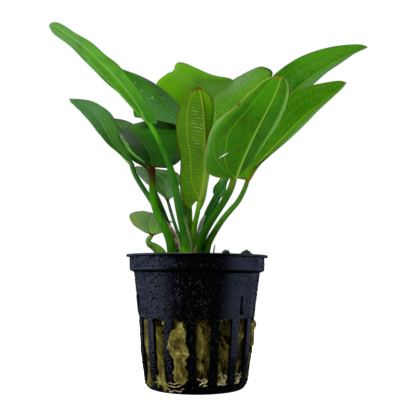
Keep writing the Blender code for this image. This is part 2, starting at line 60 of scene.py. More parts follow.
# Net pot
POT_HEIGHT = 50.0
RIM_RADIUS = 27.4
RIM_THICKNESS = 0.9
COLLAR_RADIUS = 26.0
COLLAR_FOOT = 44.0
SHOULDER_RADIUS = 24.3
BODY_RADII = ((43.2, 24.2), (31.0, 22.7), (26.7, 22.2), (13.0, 21.2), (3.1, 19.7), (1.2, 19.0))
BASE_RADIUS = 17.8
WALL = 1.1
FLOOR = 1.4
SLOT_COUNT = 16
SLOT_PITCH = 360 / SLOT_COUNT
SLOT_TOP = 26.7
SLOT_FOOT = 3.1
SLOT_WIDTH_TOP = 5.4
SLOT_WIDTH_FOOT = 4.7
SLOT_START_DEG = 6.25
LUG_COUNT = 6
LUG_FOOT = 28.0
LUG_TOP = 34.6
LUG_WIDTH = 1.4
LUG_PROUD = 0.6
LUG_START_DEG = -13.0
DRAIN_COUNT = 8
DRAIN_RADIUS = 2.0
DRAIN_CIRCLE = 11.5
PLUG_TOP = 43.6
GAP = 0.3
STALK_FOOT = 46.8

# Each leaf is a stalk and a blade along one curve. "rib" is the midrib from the blade's base to
# its tip. "facing" is the compass direction in degrees, anticlockwise from +X, that the blade
# leans to, at its base and its tip. Left and right are as seen from the plant's centre, looking
# outwards along the leaf. "fold" raises the left half at base and tip, then the right half, and
# "bow" bends each half further towards its margin, all in degrees. "left" and "right" are half
# widths at six evenly turned stations, and "lobes" is how far each basal lobe hangs back.
LEAVES = {
    "leaf_left_tall": dict(
        stalk=[(-3.8, -5, 50.6), (-4.2, -6.5, 55.5), (-5.4, -8, 60.7), (-6.7, -10, 66.2),
               (-7.8, -12, 71.6), (-9.2, -14, 78.1), (-11, -15.5, 83.5), (-13.6, -17, 89.6),
               (-16.3, -18.5, 94.8)],
        rib=[(-18.4, -19.5, 98.1), (-22.2, -20.5, 101.8), (-29.5, -22, 109.5), (-36.1, -23, 116.4),
             (-41.5, -24, 122), (-47, -24.5, 126.8), (-54.5, -25, 132.1)],
        stalk_radii=(2.05, 0.9), facing=(-124, -122), fold=(6, 3, 59, 6), bow=(0, 0),
        lobes=(2.7, 0.0),
        left=(3.9, 6.0, 7.1, 5.8, 3.9, 3.0),
        right=(5.2, 6.2, 6.2, 4.9, 3.1, 2.6),
    ),
    "leaf_left_rear": dict(
        stalk=[(-5.7, 2.8, 50.9), (-5.9, 2.6, 59.9), (-5.2, 1.7, 71.7), (-4.4, 1, 83.7),
               (-3.7, 0, 91.5)],
        rib=[(-4.4, -1, 99), (-8.1, 2.2, 105), (-13.9, 9, 113), (-19.6, 12, 119.8),
             (-24.8, 13.5, 124.4), (-30, 14.5, 127.8), (-35.3, 15.5, 130.2)],
        stalk_radii=(1.3, 0.8), facing=(118, 119), fold=(-30, -30, -11, -16), bow=(-9, -1),
        lobes=(-0.5, 0.4),
        left=(0.5, 5.4, 11.0, 10.6, 7.4, 3.6),
        right=(0.8, 2.6, 8.6, 8.5, 6.3, 3.6),
    ),
    "leaf_left_low": dict(
        stalk=[(-9.8, -0.5, 50.7), (-11.2, -1, 57.3), (-13.4, -1.3, 63.5), (-16.3, -1.3, 68.2),
               (-19.1, -1, 72.5), (-22.9, 0, 78.2), (-25.3, 0.5, 82.6)],
        rib=[(-26.5, 0.7, 86.4), (-30.2, 0.7, 90.1), (-34, 0.3, 93.7), (-36.7, 0.3, 98.5),
             (-39.9, -0.5, 103.5), (-43.5, -1, 107.4), (-47.3, -2, 109.6), (-50.9, -3, 111)],
        stalk_radii=(1.2, 1.0), facing=(129, 127), fold=(24, -14, 40, 19), bow=(-1, 0),
        lobes=(0.6, -0.5),
        left=(1.4, 2.4, 3.6, 4.5, 4.2, 2.5),
        right=(1.8, 2.3, 3.5, 5.0, 3.5, 0.9),
    ),
    "leaf_left_broad": dict(
        stalk=[(-9.5, -5, 50.6), (-10.4, -6, 55.1), (-12.1, -7, 59.2), (-14.6, -8, 64),
               (-16.3, -8.6, 68.2), (-17.1, -9, 71.9), (-17.3, -9, 78)],
        rib=[(-17.5, -9, 83.5), (-18.4, -6, 87.6), (-20.2, -1.5, 91.4), (-22.4, 3, 94.8),
             (-25.3, 8.5, 98.9), (-28.1, 14.5, 103), (-30.1, 20, 105.9)],
        stalk_radii=(1.6, 1.2), facing=(117, 109), fold=(27, -14, 30, 30), bow=(-3, 3),
        lobes=(1.8, 3.1),
        left=(13.2, 13.6, 11.4, 8.2, 5.8, 1.2),
        right=(10.5, 15.0, 16.5, 14.5, 10.5, 3.5),
    ),
    "leaf_left_inner": dict(
        stalk=[(-8.4, 2.5, 50.9), (-10, 2.7, 57.6), (-12.8, 2.2, 65), (-14.6, -0.5, 69.5),
               (-16.6, -5, 74), (-17.9, -4.7, 78.5)],
        rib=[(-19.6, 2, 84), (-22.7, 10, 90), (-26.5, 15, 96.1), (-30.5, 19.5, 102.1),
             (-34.4, 23, 106.8), (-37.8, 26.5, 110.4)],
        stalk_radii=(1.1, 0.8), facing=(91, 90), fold=(11, 15, 19, 27), bow=(-1, 3),
        lobes=(0.1, -0.5),
        left=(2.0, 5.2, 5.9, 5.1, 3.1, 1.0),
        right=(1.7, 5.1, 7.0, 5.9, 3.8, 1.4),
    ),
    "leaf_rear_broad": dict(
        stalk=[(-2.7, 4, 51), (-2.9, 6, 57.9), (-3.5, 11, 67.7), (-3.8, 18.5, 80.5), (-3, 25, 95)],
        rib=[(-1.3, 30.0, 106.2), (2.0, 34.5, 113.3), (4.8, 40.0, 120.1), (7.5, 46.0, 125.9),
             (11.0, 52.0, 130.7), (14.3, 57.0, 134.9), (17.1, 62.0, 139.8)],
        stalk_radii=(1.4, 1.1), facing=(80, 65), fold=(45, 45, 5, 30), bow=(0, 0), lobes=(1.0, 1.0),
        left=(23.0, 26.0, 24.0, 22.0, 11.5, 4.3),
        right=(8.0, 19.0, 27.0, 29.0, 22.5, 7.0),
    ),
    "leaf_front_upright": dict(
        stalk=[(-1.8, -1, 50.8), (-1.5, -1.5, 55.8), (-1.1, -2.5, 61.2), (0, -4.5, 66.4)],
        rib=[(0.8, -6.5, 71.3), (1.8, -8.5, 76.4), (2.5, -10.5, 81.9), (2.6, -12.5, 87.2),
             (2.3, -15, 92.4), (2, -18, 97.8), (1.5, -21, 102.7), (0.8, -25, 106.4),
             (-0.1, -29, 108.6)],
        stalk_radii=(1.2, 0.9), facing=(-76, -78), fold=(58, 14, 19, 16), bow=(-1, 0),
        lobes=(5.4, 5.1),
        left=(6.5, 4.6, 4.0, 4.2, 5.2, 1.8),
        right=(6.6, 9.0, 9.5, 10.6, 8.3, 3.3),
    ),
    "leaf_front_right": dict(
        stalk=[(0.1, -4.5, 50.7), (1.3, -5.5, 55.2), (3.6, -7, 60.1), (6.3, -9, 64.5),
               (9, -10.5, 68.6), (11.4, -12, 72.6), (12.8, -13, 75.9)],
        rib=[(13.4, -14, 78.7), (15.6, -17.5, 84.6), (18.2, -21, 90.1), (20.8, -24.5, 95.2),
             (23.4, -28, 99.8), (25.5, -31, 103.6), (27, -34, 106.8), (28, -37, 110)],
        stalk_radii=(1.55, 1.3), facing=(-55, -64), fold=(32, 6, 7, 22), bow=(2, 1),
        lobes=(-0.5, 1.2),
        left=(13.7, 14.5, 13.6, 11.5, 7.6, 3.6),
        right=(12.4, 14.4, 15.4, 10.9, 7.7, 4.6),
    ),
    "leaf_right_low": dict(
        stalk=[(3.3, -2.5, 50.8), (4.2, -3, 54.6), (6.6, -3.5, 58.9), (9.3, -4, 63.1),
               (12.5, -4, 67.1), (15.5, -3.5, 70.6), (18, -3.3, 75.3)],
        rib=[(19.6, -3, 79.9), (23.1, -2.8, 85.4), (28.9, -3.2, 91.7), (34.9, -3.5, 97.9),
             (41.3, -2.5, 104.7), (48.1, -0.5, 110.6), (54.4, 2, 115.9), (60.1, 5, 121.5)],
        stalk_radii=(1.5, 0.95), facing=(21, 20), fold=(75, 65, -8, 2), bow=(1, 0),
        lobes=(2.6, 0.1),
        left=(8.4, 10.2, 11.5, 10.9, 7.6, 3.6),
        right=(1.6, 6.8, 9.6, 10.1, 7.2, 3.5),
    ),
    "leaf_right_tall": dict(
        stalk=[(0.7, 1.5, 50.9), (1.2, 2, 56), (2.6, 3, 62), (4.1, 4, 67.3), (7.9, 5, 74.8),
               (11.8, 6.5, 81.9)],
        rib=[(17.1, 8.5, 91.4), (24.8, 11, 102.5), (31.8, 13.5, 111.8), (38.5, 16, 119),
             (44.4, 18, 124.4), (50.5, 20, 129.6), (57.1, 22, 134.4), (63.8, 24, 138.8),
             (70.1, 26, 142.3), (75.6, 28, 145.3)],
        stalk_radii=(1.3, 1.2), facing=(43, 41), fold=(75, 56, -2, 1), bow=(1, 0),
        lobes=(-0.5, 2.1),
        left=(2.7, 7.4, 10.5, 10.3, 7.0, 3.4),
        right=(6.1, 7.3, 8.3, 8.4, 6.8, 3.4),
    ),
    "leaf_left_small": dict(
        stalk=[(-5.5, -1, 50.8), (-7.2, -0.8, 57.2), (-9.1, 0, 62.6), (-10.6, 1, 67.3)],
        rib=[(-12.1, 2.5, 72.2), (-14.8, 4.5, 76.1), (-17.8, 7, 80.1), (-21.3, 10, 83.8),
             (-25.8, 13, 87)],
        stalk_radii=(0.75, 0.6), facing=(117, 117), fold=(38, -4, 60, 5), bow=(0, 0),
        lobes=(0.7, 1.2),
        left=(6.0, 9.0, 8.4, 6.4, 3.8, 1.6),
        right=(6.0, 9.2, 9.1, 6.3, 3.7, 2.1),
    ),
    "leaf_left_round": dict(
        stalk=[(-13.9, -3.5, 50.2), (-16.2, -4, 52.7), (-18.2, -5, 53.9), (-18.7, -5.5, 55.4),
               (-17.7, -5.8, 56.8)],
        rib=[(-17.3, -5.3, 57.6), (-18.5, -1, 60.2), (-19, 4, 62.9), (-18.8, 10, 65.5),
             (-17.8, 16, 67.6)],
        stalk_radii=(1.9, 0.7), facing=(97, 93), fold=(30, 13, 14, -22), bow=(4, 2),
        lobes=(2.2, 1.0),
        left=(8.0, 8.8, 8.8, 7.4, 5.7, 4.2),
        right=(6.0, 4.5, 4.2, 7.0, 10.5, 8.5),
    ),
    "leaf_right_young": dict(
        stalk=[(1.1, 4.5, 51), (2.2, 5.5, 57), (4.6, 7, 64.4), (7.2, 8.5, 70.3)],
        rib=[(9, 9.5, 74.3), (9.1, 11, 78), (10, 12.5, 82.4), (11.7, 14, 87.3), (13.8, 15.5, 92.3)],
        stalk_radii=(0.8, 0.6), facing=(95, 96), fold=(14, 13, 14, 10), bow=(0, 0), lobes=(0, 0),
        left=(3.0, 2.7, 0.9, 1.0, 1.1, 0.7),
        right=(2.7, 2.6, 2.6, 2.4, 2.0, 1.3),
    ),
}


def papery(rib, widths):
    """A flat blade with no stalk that faces the front."""
    flat = dict(facing=(-90, -90), fold=(0, 0, 0, 0), bow=(0, 0), lobes=(0, 0))
    return dict(rib=rib, left=widths, right=widths, **flat)


# Dry papery sheaths and a dead leaf tip: their shape, and their pale colour, their brown and
# their streaks
SCALES = {
    "sheath_left": (
        papery([(-7.2, -2.8, STALK_FOOT), (-8, -3, 54.5), (-9.6, -3.3, 58.4),
                (-11.3, -3.6, 61.3), (-12.7, -3.8, 63.2)], (1.5, 1.5, 1.4, 1.2, 0.9, 0.6)),
        ((226, 222, 176), (120, 82, 34), (104, 70, 28)),
    ),
    "sheath_middle": (
        papery([(0.3, -0.6, STALK_FOOT), (0.3, -0.4, 53), (0.4, -0.2, 56.7), (1, -0.2, 60.7),
                (2, 0, 63.9), (3.1, 0.3, 65.7)], (0.5, 0.6, 0.8, 0.9, 0.8, 0.5)),
        ((220, 232, 200), (180, 176, 130), (160, 150, 110)),
    ),
    "dead_leaf_tip": (
        papery([(6.1, -6, PLUG_TOP + GAP), (6.1, -6, 47), (6.2, -6, 50.5), (6.7, -6, 53.9)],
               (1.1, 1.0, 0.9, 0.8, 0.7, 0.6)),
        ((220, 200, 150), (190, 160, 110), (120, 84, 50)),
    ),
}

# Leaf mesh
BLADE_COLUMNS = 16
BLADE_ROWS = 60
STALK_ROWS = 26
PATH_STEPS = 12
FRAME_STEPS = 120
COLUMN_POWER = 1.3
LEAST_HALF_WIDTH = 0.05
BLADE_HALF_THICKNESS = 0.17
EDGE_THINNING = 0.85
GROOVE_DEPTH = 0.1
GROOVE_HALF_WIDTH = 0.5
RIDGE_FALL = 0.75
RIDGE_SPREAD = 1.25
SHEATH_RIDGE = 0.2
ROLL_HEIGHT = 0.7
STALK_FLATNESS = 0.9
STALK_END = 0.985
FOOT_FLARE = 0.36
FOOT_REACH = 9.0


def srgb(red, green, blue):
    """A colour on the 0 to 255 scale of a screen, as linear light."""
    linear = []
    for value in (red, green, blue):
        share = value / 255
        linear.append(share / 12.92 if share <= 0.04045 else ((share + 0.055) / 1.055) ** 2.4)
    return (*linear, 1.0)


# Looks of each leaf: colours of the upper and lower face, veins, margin, tip and stalk. A patch is
# (across, along, its reach across, its reach along, strength, colour); some patches are painted
# light and some painted sheen, as noted where they stand. A glint has the same six numbers and is
# a painted highlight on the ladder veins, which lies between the veins. A mark is (across, along,
# half length and half width in mm, turn in degrees, strength, colour). A seam is a dry strip on the
# stalk: (across, its reach, on the upper side only, from, to, strength, colour), where the stalk
# runs from -1 at its foot to 0.
BROWN = (84, 52, 16)
RUST = (60, 26, 6)
TAN = (150, 110, 30)
DEFAULT_LOOK = dict(
    top=(44, 96, 8), under=(56, 118, 8), deep=(24, 66, 4), vein=(110, 150, 30), vein_share=0.5,
    midrib=(140, 168, 50), midrib_mm=0.55, laterals=(-0.72, -0.4, 0.4, 0.72), lateral_mm=0.35,
    cross_mm=1.6, cross_share=0.12, cross_slope=0.55, margin=(96, 70, 20), margin_mm=0.35,
    margin_share=0.5, tip=(110, 60, 20), tip_from=0.94, tip_share=0.5,
    stalk=((110, 140, 50), (40, 100, 10), (84, 30, 16)), stalk_top_from=0.8, stalk_deep=(14, 50, 2),
    seams=(), marks=(), patches=(), painted_glint=None, rough=0.3, bump=0.3, gloss=0.1,
)
LOOKS = {
    "leaf_left_tall": dict(
        top=(60, 120, 20), under=(70, 136, 12), deep=(46, 104, 6), gloss=0.14, bump=0.12,
        vein=(132, 172, 60), vein_share=0.55, midrib=(84, 140, 30), midrib_mm=0.3,
        # Painted light: the stalk's foot colour is lightened where shade falls on it. The tip colour
        # and the second patch are partly paler, thin tissue and partly painted sheen.
        stalk=((104, 210, 20), (38, 104, 0), (66, 144, 2)), laterals=(0.4,), cross_share=0.02,
        cross_mm=1.9, cross_slope=1.6, margin=(80, 134, 40), tip=(100, 136, 70),
        seams=((0.95, 0.08, False, -0.95, -0.64, 0.7, (160, 166, 96)),),
        patches=((0.0, 0.05, 2.0, 0.3, 0.7, (30, 96, 0)), (0.0, 0.92, 2.0, 0.3, 0.5, (92, 130, 70))),
    ),
    "leaf_left_rear": dict(
        top=(46, 110, 12), under=(64, 130, 16), deep=(28, 80, 6), vein_share=0.25,
        vein=(70, 122, 30), midrib=(84, 138, 40), gloss=0.06, rough=0.3, margin=(110, 150, 60),
        midrib_mm=0.4, patches=((0.5, 0.3, 0.6, 0.3, 0.5, (70, 116, 60)),),
    ),
    "leaf_left_low": dict(
        top=(58, 116, 34), under=(80, 140, 30), deep=(44, 92, 20), vein=(100, 140, 50),
        vein_share=0.3, midrib=(104, 150, 70), midrib_mm=0.45,
        stalk=((100, 140, 50), (46, 108, 24), (92, 24, 14)), stalk_top_from=0.94, gloss=0.24,
        tip=(124, 156, 110), margin=(96, 140, 60),
        patches=((0.3, 0.8, 2.0, 0.4, 0.6, (86, 136, 84)),),
    ),
    "leaf_left_broad": dict(
        top=(20, 70, 0), under=(100, 168, 62), deep=(8, 46, 0), vein=(60, 96, 14), vein_share=0.4,
        midrib_mm=0.36, midrib=(66, 110, 36), margin=(130, 150, 70), margin_share=0.5,
        cross_share=0.2, cross_mm=1.5, rough=0.26, bump=0.8,
        stalk=((60, 130, 20), (58, 130, 6), (50, 4, 2)), gloss=0.07, stalk_top_from=0.62,
        laterals=(-0.57, 0.42),
        # The third patch is painted sheen: a grey-blue cast over the dark left half.
        patches=((-0.5, 0.85, 0.9, 0.4, 0.7, (52, 118, 4)),
                 (-0.3, 0.3, 0.6, 0.4, 0.6, (34, 100, 0)),
                 (0.35, 0.45, 0.5, 0.6, 0.4, (50, 60, 46))),
        marks=((-0.7, 0.93, 0.7, 0.5, 0, 0.8, RUST), (-0.55, 0.97, 0.5, 0.5, 0, 0.8, RUST),
               (-0.85, 0.8, 0.6, 0.4, 0, 0.7, RUST), (-0.3, 0.96, 0.5, 0.5, 0, 0.7, RUST),
               (-0.9, 0.6, 0.5, 0.5, 0, 0.6, RUST)),
    ),
    "leaf_left_inner": dict(
        top=(56, 100, 44), under=(60, 110, 30), deep=(24, 60, 16), vein_share=0.25, gloss=0.2,
    ),
    "leaf_rear_broad": dict(
        top=(82, 144, 10), under=(84, 150, 10), deep=(64, 124, 4), vein=(130, 176, 20),
        vein_share=0.45, midrib=(120, 96, 36), midrib_mm=0.7, margin=(150, 176, 30), rough=0.25,
        laterals=(-0.72, -0.4, 0.52), tip=(120, 170, 40),
        # Painted light: the stalk colours are lightened where the leaves above shade the stalk.
        stalk=((80, 150, 20), (90, 150, 16), (100, 150, 20)), cross_share=0.08,
        # All three patches are painted light: the first lightens the outer left flank where light
        # shines through it, and the other two are painted grey sheen beside the midrib and on the
        # right half.
        patches=((0.95, 0.55, 0.5, 0.75, 1.0, (108, 182, 8)),
                 (0.12, 0.6, 0.32, 0.8, 0.6, (108, 160, 56)),
                 (-0.35, 0.7, 0.5, 0.3, 0.5, (104, 146, 70))),
    ),
    "leaf_front_upright": dict(
        top=(60, 106, 14), under=(74, 120, 2), deep=(50, 98, 0), vein=(130, 160, 24),
        vein_share=0.55, midrib=(140, 160, 40), laterals=(-0.62,), cross_mm=1.25, cross_share=0.34,
        cross_slope=0.25, margin=(110, 50, 10), margin_mm=0.5, margin_share=0.7, tip=(90, 6, 4),
        tip_share=0.8, rough=0.22, bump=0.6, gloss=0.1,
        # Painted light: the first patch lightens the right half, which turns away from the lamps into
        # shade and glows with light through it. The glint is a painted highlight on the ladder veins.
        patches=((0.6, 0.4, 0.62, 0.8, 0.9, (112, 176, 20)),
                 (-0.8, 0.5, 0.5, 0.8, 0.4, (56, 116, 2))),
        painted_glint=(-0.22, 0.66, 0.3, 0.34, 0.45, (160, 196, 120)),
        # Painted light: the stalk colours are lightened where the leaves above shade the stalk.
        stalk=((90, 160, 16), (96, 164, 10), (110, 160, 20)),
    ),
    "leaf_front_right": dict(
        top=(60, 120, 20), under=(42, 98, 0), deep=(26, 74, 0), vein=(96, 146, 20), vein_share=0.5,
        midrib=(120, 160, 40), midrib_mm=0.5, gloss=0.04, margin=(190, 150, 100), margin_mm=0.4,
        margin_share=0.6, tip=(150, 60, 14), tip_from=0.95, tip_share=0.3, cross_mm=1.5,
        cross_share=0.22, cross_slope=0.8, stalk=((60, 130, 20), (38, 94, 4), (84, 104, 20)),
        laterals=(-0.58, -0.93, 0.85),
        # The first patch is partly the paler face of the curled edge and partly painted sheen; the
        # third patch is painted sheen along the other margin.
        patches=((1.0, 0.5, 0.3, 0.7, 0.8, (110, 164, 70)),
                 (-1.05, 0.5, 0.3, 0.75, 0.6, (74, 140, 20)),
                 (-1.0, 0.34, 0.11, 0.3, 0.7, (104, 160, 90)),
                 (-0.2, 0.9, 0.8, 0.3, 0.7, (60, 130, 0)),
                 (-0.8, 0.15, 0.5, 0.3, 0.5, (56, 110, 20))),
        seams=((-0.93, 0.12, False, -0.99, -0.78, 0.8, (170, 150, 90)),),
        marks=((-0.31, 0.53, 1.2, 0.4, 44, 0.9, BROWN), (0.31, 0.89, 0.7, 0.5, 0, 0.8, BROWN),
               (0.3, 0.86, 0.6, 0.4, 0, 0.8, BROWN), (-0.16, 0.26, 1.5, 0.4, 8, 0.8, BROWN),
               (-0.3, 0.13, 0.5, 0.5, 0, 0.8, BROWN), (-0.64, 0.14, 0.5, 0.5, 0, 0.7, BROWN),
               (-0.65, 0.37, 1.3, 0.35, -3, 0.6, BROWN), (-0.7, 0.51, 0.9, 0.35, -5, 0.5, BROWN),
               (-0.97, 0.64, 1.2, 0.6, 0, 0.8, BROWN), (-0.05, 0.48, 0.5, 0.4, 0, 0.5, BROWN),
               (-0.5, 0.185, 2.2, 0.17, 50, 1.0, (250, 252, 246))),
    ),
    "leaf_right_low": dict(
        top=(70, 142, 8), under=(64, 130, 8), deep=(50, 116, 2), vein=(110, 136, 20),
        vein_share=0.4, midrib=(160, 150, 30), midrib_mm=0.5, margin=(150, 84, 24), margin_mm=0.4,
        margin_share=0.5, tip=(150, 24, 8), tip_from=0.97, tip_share=0.5, cross_mm=2.3,
        cross_share=0.34, cross_slope=0.9, stalk=((60, 130, 20), (66, 126, 8), (104, 104, 24)),
        stalk_top_from=0.92, seams=((0.15, 0.22, True, -0.99, -0.76, 0.8, (180, 150, 110)),),
        # The third patch is painted sheen: a grey cast on the right half.
        patches=((0.6, 0.45, 0.6, 0.6, 0.7, (40, 110, 0)),
                 (-0.12, 0.5, 0.14, 0.7, 0.5, (90, 164, 40)),
                 (-1.0, 0.6, 0.45, 0.5, 0.7, (110, 150, 96))),
    ),
    "leaf_right_tall": dict(
        top=(66, 134, 10), under=(66, 130, 8), deep=(46, 110, 4), vein=(96, 156, 24),
        vein_share=0.35, midrib=(130, 176, 40), stalk=((50, 130, 50), (38, 112, 28), (36, 104, 24)),
        cross_mm=1.7, cross_slope=1.2, cross_share=0.3,
        # The glint is a painted highlight on the ladder veins, and the third patch is painted sheen:
        # a grey cast on the right half.
        painted_glint=(0.3, 0.4, 0.4, 0.4, 0.4, (140, 196, 130)),
        patches=((-0.6, 0.2, 0.6, 0.3, 0.7, (44, 104, 0)),
                 (0.0, 0.9, 1.6, 0.35, 0.5, (80, 148, 26)),
                 (-0.8, 0.6, 0.7, 0.4, 0.7, (96, 140, 84))),
        tip=(110, 130, 40), tip_from=0.97,
    ),
    "leaf_left_small": dict(
        # Painted light: these colours are lightened far beyond the leaf's own green, where the leaves
        # around it shade it.
        top=(150, 214, 104), under=(118, 174, 72), deep=(86, 146, 46), vein_share=0.8,
        vein=(210, 246, 170), stalk_top_from=0.92,
        stalk=((70, 130, 30), (50, 116, 14), (80, 20, 12)), gloss=0.5,
    ),
    "leaf_left_round": dict(
        top=(106, 160, 40), under=(120, 176, 36), deep=(90, 144, 24), gloss=0.15,
        vein=(150, 184, 60), vein_share=0.4, midrib=(150, 180, 60),
        stalk=((96, 180, 40), (116, 176, 56), (90, 24, 16)), stalk_top_from=0.92,
        patches=((0.72, 0.3, 0.3, 0.25, 0.35, (160, 166, 40)),
                 (-0.3, 0.6, 0.9, 0.9, 0.6, (60, 116, 40))),
        marks=((0.66, 0.38, 0.8, 0.5, 0, 0.6, TAN), (0.85, 0.2, 0.6, 0.4, 0, 0.4, TAN),
               (0.8, 0.34, 0.6, 0.4, 0, 0.5, TAN)),
    ),
    "leaf_right_young": dict(
        top=(54, 120, 14), under=(54, 116, 8), deep=(28, 84, 4),
        stalk=((60, 110, 20), (40, 100, 20), (30, 80, 20)),
    ),
}
# Margins that roll back over the upper face: share of the left half that lies flat, how far the
# rest reaches back, where along the blade it is widest, and how far along it spreads
ROLLS = {"leaf_left_broad": (0.78, 0.3, 0.24, 0.5)}
# How the outline differs from the solid's: shares along the blade, sheath or dead tip, and the
# left and right half width there times these numbers
SAME = (1.0,) * 5
TRIMS = {
    "leaf_front_upright": (
        (0.7, 0.78, 0.85, 0.92, 0.97, 1.0), (1.0, 0.94, 0.87, 0.8, 0.64, 0.5),
        (1.0, 0.98, 0.97, 0.96, 0.8, 0.5),
    ),
    "leaf_rear_broad": (
        (0.38, 0.45, 0.5, 0.56, 0.61, 0.68, 0.76), (1.0, 0.975, 0.98, 1.06, 1.095, 1.06, 1.0),
        (1.0, 1.03, 1.07, 1.09, 1.07, 1.03, 1.0),
    ),
    "leaf_left_rear": ((0.3, 0.38, 0.45, 0.52, 0.58), (1.0, 1.1, 1.22, 1.13, 1.0), SAME),
    "leaf_right_low": ((0.0, 0.06, 0.2, 0.32, 0.5), SAME, (0.9, 0.6, 0.6, 0.8, 1.0)),
    "leaf_left_low": ((0.05, 0.2, 0.4, 0.55, 0.7), SAME, (1.0, 1.22, 1.3, 1.2, 1.0)),
    "sheath_left": ((0.0, 0.8, 0.92, 1.0), *[(1.0, 1.0, 0.5, 0.2)] * 2),
    "dead_leaf_tip": ((0.0, 0.4, 1.0), *[(1.0, 0.5, 0.4)] * 2),
}
# Gentle waves of the left and right margin, in mm, and how many fit along the blade
WAVES = {
    "leaf_left_tall": (0.4, 0.1, 4.5), "leaf_left_low": (0.2, 0.5, 3.5),
    "leaf_right_tall": (0.3, 0.2, 4), "leaf_right_low": (0.3, 0.0, 4),
    "leaf_rear_broad": (0.6, 0.4, 3), "leaf_front_right": (0.2, 0.3, 3),
}


def mix_numbers(start, end, share):
    return start + (end - start) * share


def curve_between(a, b, c, d, t):
    """A smooth curve from b at t = 0 to c at t = 1, led by a before them and d after them."""
    squares = (2 * a - 5 * b + 4 * c - d) * t**2
    cubes = (3 * b - a - 3 * c + d) * t**3
    return 0.5 * (2 * b + (c - a) * t + squares + cubes)


def smooth_path(points):
    """A smooth curve through the points."""
    p = np.asarray(points, float)
    p = np.vstack([2 * p[0] - p[1], p, 2 * p[-1] - p[-2]])
    t = np.linspace(0, 1, PATH_STEPS, endpoint=False)[:, None]
    runs = [curve_between(*ends, t) for ends in zip(p, p[1:], p[2:], p[3:])]
    return np.vstack(runs + [p[-2:-1]])


def arc_lengths(path):
    """How far along the path each of its points is."""
    steps = np.linalg.norm(np.diff(path, axis=0), axis=1)
    return np.concatenate([[0], np.cumsum(steps)])


def arc_shares(path):
    lengths = arc_lengths(path)
    return lengths / lengths[-1]


def sample(path, values, shares):
    known = arc_shares(path)
    return np.stack([np.interp(shares, known, values[:, i]) for i in range(3)], axis=-1)


def unit(vectors):
    return vectors / np.linalg.norm(vectors, axis=-1, keepdims=True)


def frames(path, facing, shares):
    """Centre, tangent, leftward side and upper-face normal at each share of the path's length."""
    even = sample(path, path, np.linspace(0, 1, FRAME_STEPS))
    tangents = unit(np.gradient(even, axis=0))
    angles = np.radians(mix_numbers(*facing, arc_shares(even)))
    sides = np.stack([-np.sin(angles), np.cos(angles), 0 * angles], axis=-1)
    sides = unit(sides - tangents * (sides * tangents).sum(axis=-1, keepdims=True))
    parts = (even, tangents, sides, np.cross(tangents, sides))
    centre, tangent, side, normal = (sample(even, part, shares) for part in parts)
    return centre, unit(tangent), unit(side), unit(normal)


def half_widths(widths, shares):
    """Half width at each share of the blade; evenly turned stations keep both ends round."""
    controls = np.array([widths[0] / 2, *widths, 0.0])
    controls = np.array([2 * controls[0] - controls[1], *controls, -controls[-2]])
    place = np.arccos(1 - 2 * np.clip(shares, 0, 1)) / math.pi * (len(widths) + 1)
    i = np.minimum(place.astype(int), len(widths))
    known = (controls[i + k] for k in range(4))
    return np.maximum(curve_between(*known, place - i), LEAST_HALF_WIDTH)


def columns():
    """Places across a blade, from the right margin (-1) to the left (+1), closer at the midrib."""
    half = (np.arange(BLADE_COLUMNS + 1) / BLADE_COLUMNS) ** COLUMN_POWER
    return np.concatenate([-half[:0:-1], half])


